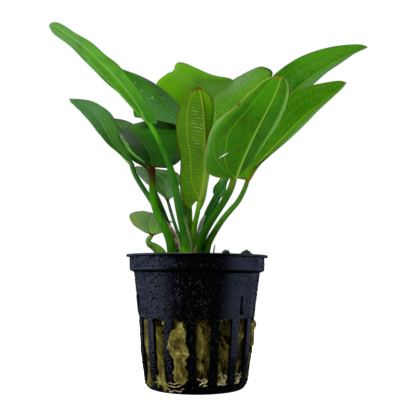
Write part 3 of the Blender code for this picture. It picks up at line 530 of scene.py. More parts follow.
class Blade:
    """A leaf blade: place() gives points for a spot across (-1 to 1) and along (0 to 1)."""

    def __init__(self, leaf, ridge, roll, wave, trim):
        self.leaf = leaf
        self.ridge = ridge
        self.roll = roll
        self.wave = wave
        self.trim = trim
        self.path = smooth_path(leaf["rib"])
        self.length = float(arc_lengths(self.path)[-1])

    def widths(self, across, along):
        sides = []
        for k, side in enumerate(("left", "right")):
            width = half_widths(self.leaf[side], along)
            if self.trim:
                width = width * np.interp(along, self.trim[0], self.trim[k + 1])
            sides.append(width)
        return np.where(across >= 0, *sides)

    def place(self, across, along, upper):
        """Points on the upper (True) or lower (False) face, and the directions out of it."""
        across, along = np.broadcast_arrays(np.asarray(across, float), np.asarray(along, float))
        centre, tangent, side, normal = frames(self.path, self.leaf["facing"], along)
        left = across >= 0
        out = np.abs(across)
        hand = np.where(left, 1.0, -1.0)
        width = self.widths(across, along)
        if self.roll:
            flat_share, reach, widest, spread = self.roll
            rolled = np.clip((out - flat_share) / (1 - flat_share), 0, 1) * (across > 0)
            bell = np.exp(-(((along - widest) / spread) ** 4))
            inner = np.minimum(out / flat_share, 1) - reach * bell * rolled
            out = np.where(across > 0, inner, out)
        fold = self.leaf["fold"]
        base = np.where(left, fold[0], fold[2])
        tip = np.where(left, fold[1], fold[3])
        bow = np.where(left, *self.leaf["bow"])
        lobe = np.where(left, *self.leaf["lobes"])
        turn = np.radians(mix_numbers(base, tip, along) + bow * out / 2)
        bend = turn + np.radians(bow * out / 2)
        back = lobe * (1 - along) ** 3 * out**1.5
        flat = (hand * np.cos(turn) * width * out)[..., None]
        lift = (np.sin(turn) * width * out)[..., None]
        points = centre + side * flat + normal * lift - tangent * back[..., None]
        face = normal * np.cos(bend)[..., None] - side * (hand * np.sin(bend))[..., None]
        left_wave, right_wave, count = self.wave
        height = np.where(left, left_wave, right_wave)
        calm = np.clip(1 - along, 0, 1) ** 0.5 * np.clip(along * 4, 0, 1)
        ripple = height * calm * out**2 * np.sin(2 * math.pi * count * along + 1.3 * hand)
        points = points + face * ripple[..., None]
        if self.roll:
            raised = ROLL_HEIGHT * bell * np.sin(rolled * math.pi / 2)
            points = points + face * raised[..., None]
            face = face * np.clip(1 - 4 * rolled, -1, 1)[..., None]
        half = BLADE_HALF_THICKNESS * (1 - EDGE_THINNING * out**4)
        mm_out = out * width
        if upper:
            thick = half - GROOVE_DEPTH * np.exp(-((mm_out / GROOVE_HALF_WIDTH) ** 2))
        else:
            ridge = self.ridge * (1 - RIDGE_FALL * along)
            bulge = np.sqrt(np.maximum(1 - (mm_out / (RIDGE_SPREAD * ridge)) ** 2, 0))
            thick = -half - ridge * bulge
        return points + face * thick[..., None], face


def stalk_rows(leaf, turns):
    """Rings of a stalk from its foot on the crown to just short of the blade."""
    foot = (*leaf["stalk"][0][:2], STALK_FOOT)
    path = smooth_path([foot, *leaf["stalk"], leaf["rib"][0]])
    shares = np.linspace(0, STALK_END, STALK_ROWS)
    centre, _, side, normal = frames(path, (leaf["facing"][0],) * 2, shares)
    length = arc_lengths(path)[-1]
    flare = 1 + FOOT_FLARE * np.exp(-((shares * length / FOOT_REACH) ** 2))
    radius = (mix_numbers(*leaf["stalk_radii"], shares) * flare)[:, None, None]
    across = side[:, None, :] * np.cos(turns)[None, :, None]
    out = normal[:, None, :] * (STALK_FLATNESS * np.sin(turns))[None, :, None]
    return centre[:, None, :] + radius * (across + out), shares, length


def leaf_rings(name, leaf):
    """All rings of a leaf or sheath, with what its material needs to know at each point."""
    cols = columns()
    under = cols[-2:0:-1]
    ridge = leaf["stalk_radii"][1] if "stalk" in leaf else SHEATH_RIDGE
    blade = Blade(leaf, ridge, ROLLS.get(name), WAVES.get(name, (0, 0, 1)), TRIMS.get(name))
    along = 0.5 * (1 - np.cos(np.pi * np.arange(BLADE_ROWS) / BLADE_ROWS))[:, None]
    top, _ = blade.place(cols[None, :], along, True)
    low, _ = blade.place(under[None, :], along, False)
    rings = np.concatenate([top, low], axis=1)
    shape = rings.shape[:2]
    across = np.broadcast_to(np.concatenate([cols, under]), shape)
    facts = {
        "across": across,
        "along": np.broadcast_to(along, shape),
        "half_mm": blade.widths(across, along),
        "rise_mm": np.broadcast_to(along * blade.length, shape),
        "upper": np.broadcast_to(np.arange(shape[1]) < len(cols), shape),
    }
    if "stalk" in leaf:
        up = np.linspace(math.pi, 0, len(cols))
        down = -np.linspace(0, math.pi, len(under) + 2)[1:-1]
        turns = np.concatenate([up, down])
        stalk, shares, length = stalk_rows(leaf, turns)
        rings = np.concatenate([stalk, rings])
        shape = stalk.shape[:2]
        before = (shares - 1)[:, None]
        extra = {
            "across": np.broadcast_to(np.cos(turns), shape),
            "along": np.broadcast_to(before, shape),
            "half_mm": np.full(shape, leaf["stalk_radii"][0]),
            "rise_mm": np.broadcast_to(before * length, shape),
            "upper": np.broadcast_to(np.sin(turns) > 0, shape),
        }
        facts = {key: np.concatenate([extra[key], facts[key]]) for key in facts}
    return rings, facts, blade


def ring_pairs(start, size):
    """The numbers of each two neighbours in a closed ring of points."""
    return [(start + i, start + (i + 1) % size) for i in range(size)]


def grid_faces(rows, size):
    """Quads between closed rings of points."""
    faces = []
    for row in range(rows - 1):
        faces += [(i, j, j + size, i + size) for i, j in ring_pairs(row * size, size)]
    return faces


def capped_faces(rows, size):
    """Quads between closed rings of points, and a flat cap over the first and last ring."""
    last = (rows - 1) * size
    return grid_faces(rows, size) + [tuple(range(size))[::-1], tuple(range(last, last + size))]


def fan(start, size, centre, turned=False):
    """Triangles from a closed ring of points to one in its middle."""
    faces = [(i, j, centre) for i, j in ring_pairs(start, size)]
    return [face[::-1] for face in faces] if turned else faces


def new_mesh(name, points, faces):
    """A mesh from points in millimetres."""
    mesh = bpy.data.meshes.new(name)
    mesh.from_pydata((np.asarray(points, float) * MM).tolist(), [], faces)
    mesh.update()
    mesh.shade_smooth()
    return mesh


def add_fact(mesh, key, values):
    """A number for each point, for the material to read."""
    layer = mesh.attributes.new(key, "FLOAT", "POINT")
    layer.data.foreach_set("value", np.asarray(values, np.float32))


def ring_mesh(name, rings, facts, tip):
    """A closed mesh over rings, closed at the foot and drawn to a point at the tip."""
    rows, size = rings.shape[:2]
    count = rows * size
    points = np.vstack([rings.reshape(-1, 3), rings[0].mean(axis=0), tip])
    faces = grid_faces(rows, size) + fan(0, size, count, True)
    faces += fan(count - size, size, count + 1)
    mesh = new_mesh(name, points, faces)
    for key, values in facts.items():
        flat = values.astype(float)
        end = 1.0 if key == "along" else flat[-1].mean()
        add_fact(mesh, key, np.concatenate([flat.ravel(), [flat[0].mean(), end]]))
    return mesh


def new_object(name, data):
    made = bpy.data.objects.new(name, data)
    bpy.context.scene.collection.objects.link(made)
    return made


def add_piece(name, mesh, finish, nodes=()):
    piece = new_object(name, mesh)
    mesh.materials.append(finish)
    if nodes:
        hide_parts(*nodes)
    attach(piece, "root")
    return piece


class Value:
    """A number that varies over a surface, for use with the signs of arithmetic."""

    def __init__(self, recipe, socket):
        self.recipe = recipe
        self.socket = socket

    def __add__(self, other):
        return self.recipe.math("ADD", self, other)

    def __radd__(self, other):
        return self.recipe.math("ADD", other, self)

    def __sub__(self, other):
        return self.recipe.math("SUBTRACT", self, other)

    def __rsub__(self, other):
        return self.recipe.math("SUBTRACT", other, self)

    def __mul__(self, other):
        return self.recipe.math("MULTIPLY", self, other)

    def __truediv__(self, other):
        return self.recipe.math("DIVIDE", self, other)

    def __abs__(self):
        return self.recipe.math("ABSOLUTE", self)


class Recipe:
    """Builds a material's nodes; most calls give the value that their node works out."""

    def __init__(self, name):
        self.material = bpy.data.materials.new(name)
        self.material.use_nodes = True
        self.tree = self.material.node_tree
        self.tree.nodes.clear()
        self.output = self.tree.nodes.new("ShaderNodeOutputMaterial")

    def feed(self, socket, value):
        if isinstance(value, Value):
            self.tree.links.new(value.socket, socket)
        elif isinstance(value, tuple) and len(value) == 3 and socket.type == "RGBA":
            socket.default_value = srgb(*value)
        elif value is not None:
            socket.default_value = value

    def node(self, kind, settings=None, output=0, **inputs):
        made = self.tree.nodes.new(kind)
        for key, value in (settings or {}).items():
            setattr(made, key, value)
        for key, value in inputs.items():
            self.feed(made.inputs[key.replace("_", " ")], value)
        return Value(self, made.outputs[output])

    def fill(self, kind, settings, inputs):
        """A node whose inputs are given by number, as some have no names of their own."""
        made = self.node(kind, settings).socket.node
        for key, value in inputs.items():
            self.feed(made.inputs[key], value)
        return made

    def math(self, operation, *values):
        made = self.fill("ShaderNodeMath", {"operation": operation}, dict(enumerate(values)))
        return Value(self, made.outputs[0])

    def most(self, a, b):
        return self.math("MAXIMUM", a, b)

    def attribute(self, name):
        return self.node("ShaderNodeAttribute", {"attribute_name": name}, "Fac")

    def place(self):
        return self.node("ShaderNodeTexCoord", None, "Object")

    def stretched(self, *scale):
        """Object coordinates in millimetres, each axis times its number."""
        sizes = tuple(number / MM for number in scale)
        inputs = {0: self.place(), 1: sizes}
        made = self.fill("ShaderNodeVectorMath", {"operation": "MULTIPLY"}, inputs)
        return Value(self, made.outputs[0])

    def noise(self, size_mm, detail=3.0, rough=0.5, where=None):
        """Soft noise of this grain; with a place of its own in where, the grain counts there."""
        scale = 1 / size_mm if where else 1 / (size_mm * MM)
        return self.node(
            "ShaderNodeTexNoise", None, "Fac", Vector=where or self.place(), Scale=scale,
            Detail=detail, Roughness=rough,
        )

    def ease(self, value, low, high, start=0.0, end=1.0):
        """A smooth rise from start at low to end at high."""
        return self.node(
            "ShaderNodeMapRange", {"interpolation_type": "SMOOTHSTEP"},
            Value=value, From_Min=low, From_Max=high, To_Min=start, To_Max=end,
        )

    def mix(self, share, a, b):
        made = self.fill("ShaderNodeMix", {"data_type": "RGBA"}, {0: share, 6: a, 7: b})
        return Value(self, made.outputs[2])

    def patch(self, across, along, uneven, centre_across, centre_along, reach_across, reach_along):
        """One at a place on a blade, fading to zero with an uneven edge."""
        a = (across - centre_across) / reach_across
        b = (along - centre_along) / reach_along
        return self.ease(a * a + b * b + uneven * 0.5, -0.1, 1.2, 1, 0)

    def bump(self, height, strength, distance_mm):
        distance = distance_mm * MM
        return self.node("ShaderNodeBump", Height=height, Strength=strength, Distance=distance)

    def principled(self, colour, rough, normal=None, **numbers):
        return self.node(
            "ShaderNodeBsdfPrincipled", Base_Color=colour, Roughness=rough, Normal=normal, **numbers
        )

    def finish(self, shader):
        self.feed(self.output.inputs["Surface"], shader)
        return self.material


def leaf_material(name, look, length):
    """Green tissue with a midrib, side and ladder veins, a tinted margin and tip, patches, painted
    glints, and a stalk.
    """
    r = Recipe(name)
    keys = ("across", "along", "half_mm", "rise_mm", "upper")
    across, along, half, rise, upper = (r.attribute(key) for key in keys)
    out = abs(across)
    mm_out = out * half
    edge_mm = (1.0 - out) * half
    blade = r.ease(along, -0.02, 0.01)

    wobble = r.noise(4.0, 2.0)
    start = 1.0 - r.math("EXPONENT", r.most(along, 0.0) * -9.0)
    taper = 1.0 - r.most(along, 0.0) * 0.7
    midrib = r.ease(mm_out / taper, 0.35 * look["midrib_mm"], look["midrib_mm"], 1, 0)
    sides = 0.0
    for place in look["laterals"]:
        bent = start * place + (wobble - 0.5) * 0.06
        gap = abs(across - bent) * half
        sides = r.most(sides, r.ease(gap, 0.05, look["lateral_mm"], 1, 0))
    ladder = (rise - mm_out * look["cross_slope"]) / look["cross_mm"] + wobble * 1.4
    ladder = abs(r.math("FRACT", ladder) - 0.5)
    ladder = r.ease(ladder, 0.0, 0.24, 1, 0) * r.ease(edge_mm, 0.2, 1.2)
    ladder = ladder * r.ease(r.noise(3.4, 1.0), 0.36, 0.6)
    broad = r.ease(half, 1.6, 4.4)
    ladder = ladder * broad
    sides = sides * broad
    veins = r.most(r.most(sides, midrib), ladder * 0.6)

    tissue = r.mix(upper, look["under"], look["top"])
    tissue = r.mix(r.ease(r.noise(9.0, 3.0), 0.35, 0.7) * 0.7, tissue, look["deep"])
    tissue = r.mix(r.ease(r.noise(1.7, 2.0), 0.4, 0.7) * 0.06, tissue, look["vein"])
    for *where, share, tint in look["patches"]:
        near = r.patch(across, along, wobble - 0.5, *where)
        tissue = r.mix(near * share, tissue, tint)
    tissue = r.mix(ladder * look["cross_share"], tissue, look["vein"])
    # Painted highlight: pale glints on the ladder veins between the veins, in place of reflected
    # light.
    if look["painted_glint"]:
        *where, share, tint = look["painted_glint"]
        near = r.patch(across, along, wobble - 0.5, *where) * share
        near = near * r.ease(r.noise(2.2, 2.0), 0.44, 0.6)
        tissue = r.mix(near * ladder, tissue, tint)
    tissue = r.mix(sides * look["vein_share"], tissue, look["vein"])
    tissue = r.mix(midrib * 0.8, tissue, look["midrib"])
    ragged = edge_mm + (r.noise(2.5, 2.0) - 0.5) * look["margin_mm"]
    rim = r.ease(ragged, 0.3 * look["margin_mm"], look["margin_mm"], look["margin_share"], 0)
    tissue = r.mix(rim, tissue, look["margin"])
    tip = r.ease(along, look["tip_from"], 1.0, 0, look["tip_share"])
    tissue = r.mix(tip, tissue, look["tip"])
    for where, up, long, wide, turn, share, tint in look["marks"]:
        sideways = (across - where) * half
        upwards = (along - up) * length
        c, s = math.cos(math.radians(turn)), math.sin(math.radians(turn))
        run = (upwards * c + sideways * s) * (1 / long)
        off = (sideways * c - upwards * s) * (1 / wide)
        far = r.math("SQRT", run * run + off * off) + (r.noise(0.8, 2.0) - 0.5) * 0.8
        tissue = r.mix(r.ease(far, 0.5, 1.0, share, 0), tissue, tint)

    foot, middle, top = look["stalk"]
    streak = r.noise(1.0, where=r.stretched(1.1, 1.1, 0.1))
    stalk = r.mix(r.ease(along, -1.0, -0.78), foot, middle)
    stalk = r.mix(r.ease(streak, 0.35, 0.75) * 0.5, stalk, look["stalk_deep"])
    stalk = r.mix(r.ease(along, look["stalk_top_from"] - 1, -0.06, 0, 0.97), stalk, top)
    for where, reach, upper_only, begin, end, share, tint in look["seams"]:
        near = r.ease(abs(across - where), 0.5 * reach, reach, share, 0)
        run = r.ease(along, begin, begin + 0.04) * r.ease(along, end - 0.12, end, 1, 0)
        near = near * (run * r.ease(streak, 0.3, 0.5, 0.4, 1))
        if upper_only:
            near = near * upper
        stalk = r.mix(near, stalk, tint)

    raised = veins * (1.0 - upper * 1.6) + r.noise(3.5, 2.0) * 0.8
    raised = raised * blade + streak * (1.0 - blade)
    normal = r.bump(raised, look["bump"], 0.25)
    rough = look["rough"] + r.noise(2.6, 2.0) * 0.1
    colour = r.mix(blade, stalk, tissue)
    return r.finish(r.principled(colour, rough, normal, Specular_IOR_Level=look["gloss"]))


def papery_material(name, pale, brown, streaks):
    """Thin dry tissue: pale with a brown middle, streaked, greener at the foot, and translucent."""
    r = Recipe(name)
    fibre = r.noise(1.0, 4.0, where=r.stretched(3.0, 3.0, 0.25))
    out = abs(r.attribute("across"))
    patch = r.ease(r.noise(1.6), 0.42, 0.56)
    middle = r.ease(out + (fibre - 0.5) * 0.8, 0.35, 0.7, 1, 0)
    colour = r.mix(patch * middle * 0.95, pale, brown)
    colour = r.mix(r.ease(fibre, 0.5, 0.66) * 0.5, colour, streaks)
    colour = r.mix(r.ease(r.attribute("along"), 0.08, 0.3, 0.7, 0), colour, (70, 110, 40))
    normal = r.bump(fibre, 0.6, 0.3)
    solid = r.principled(colour, 0.75, normal)
    through = r.node("ShaderNodeBsdfTranslucent", Color=colour, Normal=normal)
    blend = r.fill("ShaderNodeMixShader", None, {0: 0.35, 1: solid, 2: through})
    return r.finish(Value(r, blend.outputs[0]))


def build_grown(name, leaf, colours=None):
    """The mesh of a leaf, or of a sheath where it has papery colours."""
    rings, facts, blade = leaf_rings(name, leaf)
    mesh = ring_mesh(name + "_skin", rings, facts, blade.path[-1])
    if colours:
        finish = papery_material(name + "_finish", *colours)
    else:
        finish = leaf_material(name + "_finish", {**DEFAULT_LOOK, **LOOKS[name]}, blade.length)
    add_piece(name + "_skin", mesh, finish, (name,))
    return blade


# Net pot
POT_STEPS = 144
SLOT_REACH = (14, 30)
DRAIN_SIDES = 24
DRAIN_DEPTH = 8.0
SLOT_ROUND = 0.35
LUG_ROUND = 0.2
CORNER_ROUND = 0.28
SHARP_DEG = 35
INNER_FOOT_STEP = 0.4
SHOULDER_RISE = 1.0
FOOT_CHAMFER = (0.5, 0.3)


def body_radius(height):
    heights, radii = zip(*reversed(BODY_RADII))
    return np.interp(height, heights, radii)


def around(angle_deg, radius, sideways=0.0):
    """A point at an angle from the front, positive to the right, seen from above."""
    angle = math.radians(angle_deg)
    s, c = math.sin(angle), math.cos(angle)
    return radius * s + sideways * c, -radius * c + sideways * s


def wedge(bm, angle_deg, *ends):
    """A block on the pot's wall; each end is (height, width, inner radius, outer radius)."""
    rings = []
    for height, width, inner, outer in ends:
        corners = ((inner, -1), (outer, -1), (outer, 1), (inner, 1))
        places = [(*around(angle_deg, radius, side * width / 2), height) for radius, side in corners]
        rings.append([bm.verts.new([part * MM for part in place]) for place in places])
    low, high = rings
    bm.faces.new(low[::-1])
    bm.faces.new(high)
    for i, j in ring_pairs(0, 4):
        bm.faces.new((low[i], low[j], high[j], high[i]))


def helper(name, bm, round_mm=0.0):
    """An object that shapes the pot's walls and is then removed."""
    bmesh.ops.recalc_face_normals(bm, faces=bm.faces)
    mesh = bpy.data.meshes.new(name)
    bm.to_mesh(mesh)
    bm.free()
    made = new_object(name, mesh)
    if round_mm:
        bevel = made.modifiers.new("round", "BEVEL")
        bevel.width = round_mm * MM
        bevel.segments = 2
    return made


def slot_cutters():
    bm = bmesh.new()
    for k in range(SLOT_COUNT):
        foot = (SLOT_FOOT, SLOT_WIDTH_FOOT, *SLOT_REACH)
        top = (SLOT_TOP, SLOT_WIDTH_TOP, *SLOT_REACH)
        wedge(bm, SLOT_START_DEG + k * SLOT_PITCH, foot, top)
    return helper("slot_cutters", bm, SLOT_ROUND)


def drain_cutters():
    bm = bmesh.new()
    for k in range(DRAIN_COUNT):
        made = bmesh.ops.create_cone(
            bm, cap_ends=True, segments=DRAIN_SIDES, radius1=DRAIN_RADIUS * MM,
            radius2=DRAIN_RADIUS * MM, depth=DRAIN_DEPTH * MM,
        )
        x, y = around(k * 360 / DRAIN_COUNT, DRAIN_CIRCLE)
        bmesh.ops.translate(bm, vec=(x * MM, y * MM, 0), verts=made["verts"])
    return helper("drain_cutters", bm)


def lug_blocks():
    bm = bmesh.new()
    for k in range(LUG_COUNT):
        ends = []
        for height in (LUG_FOOT, LUG_TOP):
            radius = body_radius(height)
            ends.append((height, LUG_WIDTH, radius - WALL / 2, radius + LUG_PROUD))
        wedge(bm, LUG_START_DEG + k * 360 / LUG_COUNT, *ends)
    return helper("lug_blocks", bm, LUG_ROUND)


def rounded(profile, radius, steps=3):
    """The profile with each inner corner replaced by a short curve."""
    p = [np.array(point, float) for point in profile]
    out = [p[0]]
    for a, b, c in zip(p, p[1:], p[2:]):
        cut = min(radius, 0.45 * np.linalg.norm(a - b), 0.45 * np.linalg.norm(c - b))
        start = b + unit(a - b) * cut
        end = b + unit(c - b) * cut
        for t in np.arange(steps + 1) / steps:
            out.append((1 - t) ** 2 * start + 2 * t * (1 - t) * b + t**2 * end)
    return out + [p[-1]]


def pot_profile():
    """Half of the pot's section, as (radius, height), from the floor's middle round to the base's."""
    outer = [(radius, height) for height, radius in BODY_RADII]
    inner = [(radius - WALL, height) for radius, height in reversed(outer) if height > FLOOR]
    collar_inside = COLLAR_RADIUS - WALL
    rim_foot = POT_HEIGHT - RIM_THICKNESS
    profile = [(0, FLOOR), (outer[-1][0] - WALL - INNER_FOOT_STEP, FLOOR), *inner]
    profile += [(SHOULDER_RADIUS - WALL, COLLAR_FOOT), (collar_inside, COLLAR_FOOT + SHOULDER_RISE)]
    profile += [(collar_inside, POT_HEIGHT), (RIM_RADIUS, POT_HEIGHT), (RIM_RADIUS, rim_foot)]
    profile += [(COLLAR_RADIUS, rim_foot), (COLLAR_RADIUS, COLLAR_FOOT), *outer]
    profile += [(BASE_RADIUS + FOOT_CHAMFER[0], FOOT_CHAMFER[1]), (BASE_RADIUS, 0), (0, 0)]
    return rounded(profile, CORNER_ROUND)


def turned_mesh(name, profile, steps):
    """The profile turned about the Z axis, from its first point there to its last."""
    turns = np.linspace(0, 2 * math.pi, steps, endpoint=False)
    points = []
    for radius, height in profile[1:-1]:
        points += [(radius * math.cos(a), radius * math.sin(a), height) for a in turns]
    count = len(points)
    points += [(0, 0, profile[0][1]), (0, 0, profile[-1][1])]
    faces = [face[::-1] for face in grid_faces(count // steps, steps)]
    end = count - steps
    for i, j in ring_pairs(0, steps):
        faces += [(count, i, j), (count + 1, end + j, end + i)]
    mesh = new_mesh(name, points, faces)
    bm = bmesh.new()
    bm.from_mesh(mesh)
    bmesh.ops.recalc_face_normals(bm, faces=bm.faces)
    bm.to_mesh(mesh)
    bm.free()
    return mesh


def pot_material():
    r = Recipe("net_pot_finish")
    grain = r.noise(0.35)
    cloud = r.noise(9.0)
    colour = r.mix(cloud * 0.5, (0, 0, 1), (1, 1, 2))
    lines = r.noise(1.0, 2.0, where=r.stretched(0.02, 0.02, 3.0))
    normal = r.bump(grain * 0.4 + lines * 0.6, 0.12, 0.2)
    return r.finish(r.principled(colour, 0.2 + cloud * 0.14, normal, Specular_IOR_Level=0.5))


def build_pot():
    pot = new_object("net_pot_skin", turned_mesh("net_pot_skin", pot_profile(), POT_STEPS))
    helpers = (lug_blocks(), slot_cutters(), drain_cutters())
    for operation, other in zip(("UNION", "DIFFERENCE", "DIFFERENCE"), helpers):
        modifier = pot.modifiers.new(other.name, "BOOLEAN")
        modifier.operation = operation
        modifier.solver = "EXACT"
        modifier.object = other
    shaped = pot.evaluated_get(bpy.context.evaluated_depsgraph_get())
    cut = bpy.data.meshes.new_from_object(shaped)
    for other in (pot, *helpers):
        bpy.data.objects.remove(other)
    cut.materials.clear()
    cut.shade_smooth()
    cut.set_sharp_from_angle(angle=math.radians(SHARP_DEG))
    add_piece("net_pot_skin", cut, pot_material(), ("net_pot",))


# Rockwool. Lobes, strands and roots are laid on the pot's wall by their angle in degrees from the
# front, positive to the right, and their height in mm.
WOOL_TURNS = 540
WOOL_ROWS = 120
WOOL_TOP_RINGS = 26
WOOL_DEPTH = 3.0
WOOL_RADIUS = 21.0
# How deep the plug lies behind the wall, how its top edge is rounded and how its top dips
WOOL_SINK = 0.25
WOOL_EDGE = 2.0
WOOL_EDGE_DROP = 1.6
WOOL_TOP_DIP = 0.25
WOOL_MIDDLE_DIP = 0.3
# How far the wool in a slot keeps off its sides and ends, and over what distance it comes
# forward there
SIDE_GAP = 0.15
SIDE_EASE = 0.7
END_GAP = 0.2
END_EASE = 0.8
LOBE_ROWS = 110
LOBE_COLUMNS = 60
LOBE_FILL = 1.6
OVER_WALL = 0.3
UNDER_LOBE = 0.05
NOISE_TABLE = 4096
NOISE_KEYS = (73856093, 19349663, 83492791)
FIBRE_COUNT = 900
FIBRE_LENGTH = (2.0, 6.0)
FIBRE_RADIUS = (0.05, 0.14)
FIBRE_SPAN_DEG = 5.6
FIBRE_PROUD = 0.5
ROOT_COUNT = 84
ROOT_RADIUS = (0.07, 0.17)
ROOT_DEPTH = (0.1, 1.0)
ROOT_SPAN_DEG = 6.2
ROOT_BAND = 3.8
STAR_ARM_RADIUS = 0.42
STRAND_RADIUS = 0.11
LOWEST_THREAD = 0.7
# Slots that show roots, counted from the front to the right, more often where listed twice
ROOT_SLOTS = (0, 1, 1, 1, 1, 1, 2, 2, 2, 2, 5, 7, 8, 10, 13)
LOOSE_STRANDS = (
    ((-32.2, 2.9), (-24.0, 2.8), (-14.1, 3.8), (-8.9, 5.2)),
    ((-31.4, 2.2), (-28.4, 1.1), (-24.8, 0.8)),
    ((-29.5, 3.9), (-24.8, 3.9), (-18.2, 4.6), (-11.9, 5.7)),
    ((-26, 1.2), (-16.7, 1.5), (-12.2, 2.3)),
)
# Star-shaped wisps: their centre and the ends of their arms
WOOL_STARS = (
    ((-41, 4.1), ((-47.8, 3.4), (-43.6, 1.6), (-36, 2.8), (-38.9, 7.4), (-44, 6.4))),
    ((-33.5, 2.9), ((-28.5, 3.9), (-27.0, 1.1), (-36.1, 0.9), (-35.1, 7.0), (-33.9, 10.3))),
    ((-60.4, 2.6), ((-65.5, 2.9), (-54.5, 1.9), (-57.4, 6.9))),
)
# Flakes on the wall: the angles of their two edges at some heights, how thick they are, how far
# off the wall and how ragged at the edge in degrees
WOOL_LOBES = {
    "front_tuft": dict(
        heights=(25.6, 24.0, 20.6, 16.6, 14.4, 12.3, 8.9, 5.4, 4.2),
        left=(-16.5, -19.3, -24.9, -28.7, -25.2, -20.8, -22.4, -23.5, -20.0),
        right=(-13.0, -12.2, -8.5, -8.6, -7.1, -11.4, -8.7, -9.2, -12.0),
        thick=1.2, lift=0.2, ragged=3.0,
    ),
    "left_tuft": dict(
        heights=(12.0, 9.0, 6.2, 4.4, 3.2, 2.4), left=(-36.0, -37.5, -40.5, -43.0, -42.0, -37.0),
        right=(-33.4, -32.8, -32.5, -31.5, -32.5, -34.0), thick=0.7, lift=0.1, ragged=3.2,
    ),
    "left_edge_tuft": dict(
        heights=(8.4, 6.0, 4.2, 2.8, 2.2), left=(-58.5, -60.0, -62.5, -62.0, -58.0),
        right=(-56.0, -54.5, -52.0, -50.5, -53.0), thick=0.6, lift=0.1, ragged=2.4,
    ),
    "right_bulge": dict(
        heights=(25.8, 24.2, 22.0, 19.6, 17.4, 15.8), left=(70.5, 69.0, 70.0, 72.0, 71.5, 73.5),
        right=(76.5, 79.5, 81.0, 80.5, 79.0, 77.0), thick=1.1, lift=0.1, ragged=0.8,
    ),
}


def value_noise(points, seed, octaves=3):
    """Smooth noise from -1 to 1 at points given in units of its cell."""
    total = 0.0
    for octave in range(octaves):
        table = np.random.default_rng(seed + octave).uniform(-1, 1, NOISE_TABLE)
        p = points * 2**octave
        cell = np.floor(p).astype(np.int64)
        f = p - cell
        f = f * f * (3 - 2 * f)
        value = 0.0
        for corner in range(8):
            step = np.array([corner & 1, corner >> 1 & 1, corner >> 2 & 1])
            keys = (cell + step) * NOISE_KEYS
            index = (keys[..., 0] ^ keys[..., 1] ^ keys[..., 2]) % NOISE_TABLE
            value = value + table[index] * np.prod(np.where(step, f, 1 - f), axis=-1)
        total = total + value / 2**octave
    return total / (2 - 2 ** (1 - octaves))


def ridges(points, seed):
    """Sharp crests from 0 to 1: one where smooth noise crosses zero."""
    return 1 - np.minimum(1, 2.4 * np.abs(value_noise(points, seed)))


def wall_points(angle_deg, height, radius):
    turn = np.radians(angle_deg)
    return np.stack([np.sin(turn) * radius, -np.cos(turn) * radius, height + 0 * radius], axis=-1)


def from_slot(angle_deg):
    """Degrees from the middle of the nearest slot."""
    return (angle_deg - SLOT_START_DEG + SLOT_PITCH / 2) % SLOT_PITCH - SLOT_PITCH / 2


def slot_share(angle_deg, height):
    """One inside a slot, falling to zero at its edges."""
    rise = (height - SLOT_FOOT) / (SLOT_TOP - SLOT_FOOT)
    width = mix_numbers(SLOT_WIDTH_FOOT, SLOT_WIDTH_TOP, rise)
    across = np.abs(np.radians(from_slot(angle_deg))) * body_radius(height)
    edge = np.clip((width / 2 - SIDE_GAP - across) / SIDE_EASE, 0, 1)
    above = np.clip((height - SLOT_FOOT - END_GAP) / END_EASE, 0, 1)
    below = np.clip((SLOT_TOP - END_GAP - height) / END_EASE, 0, 1)
    share = edge * (above * below)
    return share * share * (3 - 2 * share)


def wool_material():
    """Wet wool with painted shade in its folds and painted highlights on its crests, streaked by
    fibres.
    """
    r = Recipe("rockwool_finish")
    fibre = r.noise(1.0, 4.0, 0.6, r.stretched(1.1, 1.1, 0.5))
    fine = r.noise(0.5, 3.0, 0.6)
    tone_and_painted_light = r.attribute("tone_and_painted_light") + (fibre - 0.5) * 0.5
    # The darkest colour is painted shade in the folds and the palest a painted highlight on the
    # crests.
    colour = r.mix(r.ease(tone_and_painted_light, 0.05, 0.42), (18, 13, 2), (66, 57, 12))
    colour = r.mix(r.ease(tone_and_painted_light, 0.4, 0.74), colour, (104, 96, 36))
    colour = r.mix(r.ease(tone_and_painted_light, 0.78, 1.0), colour, (152, 146, 88))
    normal = r.bump(fibre + fine * 0.3, 0.7, 0.4)
    return r.finish(r.principled(colour, 0.6, normal, Specular_IOR_Level=0.08))


def wool_surface(angle, height):
    """Radius of the plug, and its tone with painted light: 0 for painted shade in a fold, 1 for a
    painted highlight on a crest.
    """
    base = body_radius(height) - WALL - GAP - WOOL_SINK
    spots = wall_points(angle, height + 0.42 * angle, WOOL_RADIUS)
    lumps = value_noise(spots / (5.4, 5.4, 7.0), SEED)
    crests = ridges(spots / (4.4, 4.4, 6.5), SEED + 20)
    creases = ridges(spots / (7.0, 7.0, 9.0), SEED + 30)
    small = value_noise(spots / (1.3, 1.3, 2.2), SEED + 50)
    share = slot_share(angle, height)
    deep = np.clip(-lumps * 2.6 - 0.1, 0, 1) + 0.6 * np.clip(creases - 0.6, 0, 1) / 0.4
    deep = np.clip(deep, 0, 1)
    proud = share * np.clip(0.6 + 0.9 * lumps + 0.35 * crests + 0.2 * small, 0, 1.5)
    radius = base - WOOL_SINK * (1 - share) + proud - deep * WOOL_DEPTH * (0.3 + 0.7 * share)
    # Painted light: tone sinks as painted shade where the wool lies deep and rises as painted
    # highlights on crests.
    tone_and_painted_light = 0.45 + 0.4 * small + 0.4 * np.clip(crests * 4 - 3, 0, 1) - 0.6 * deep
    return radius, np.clip(tone_and_painted_light, 0, 1)


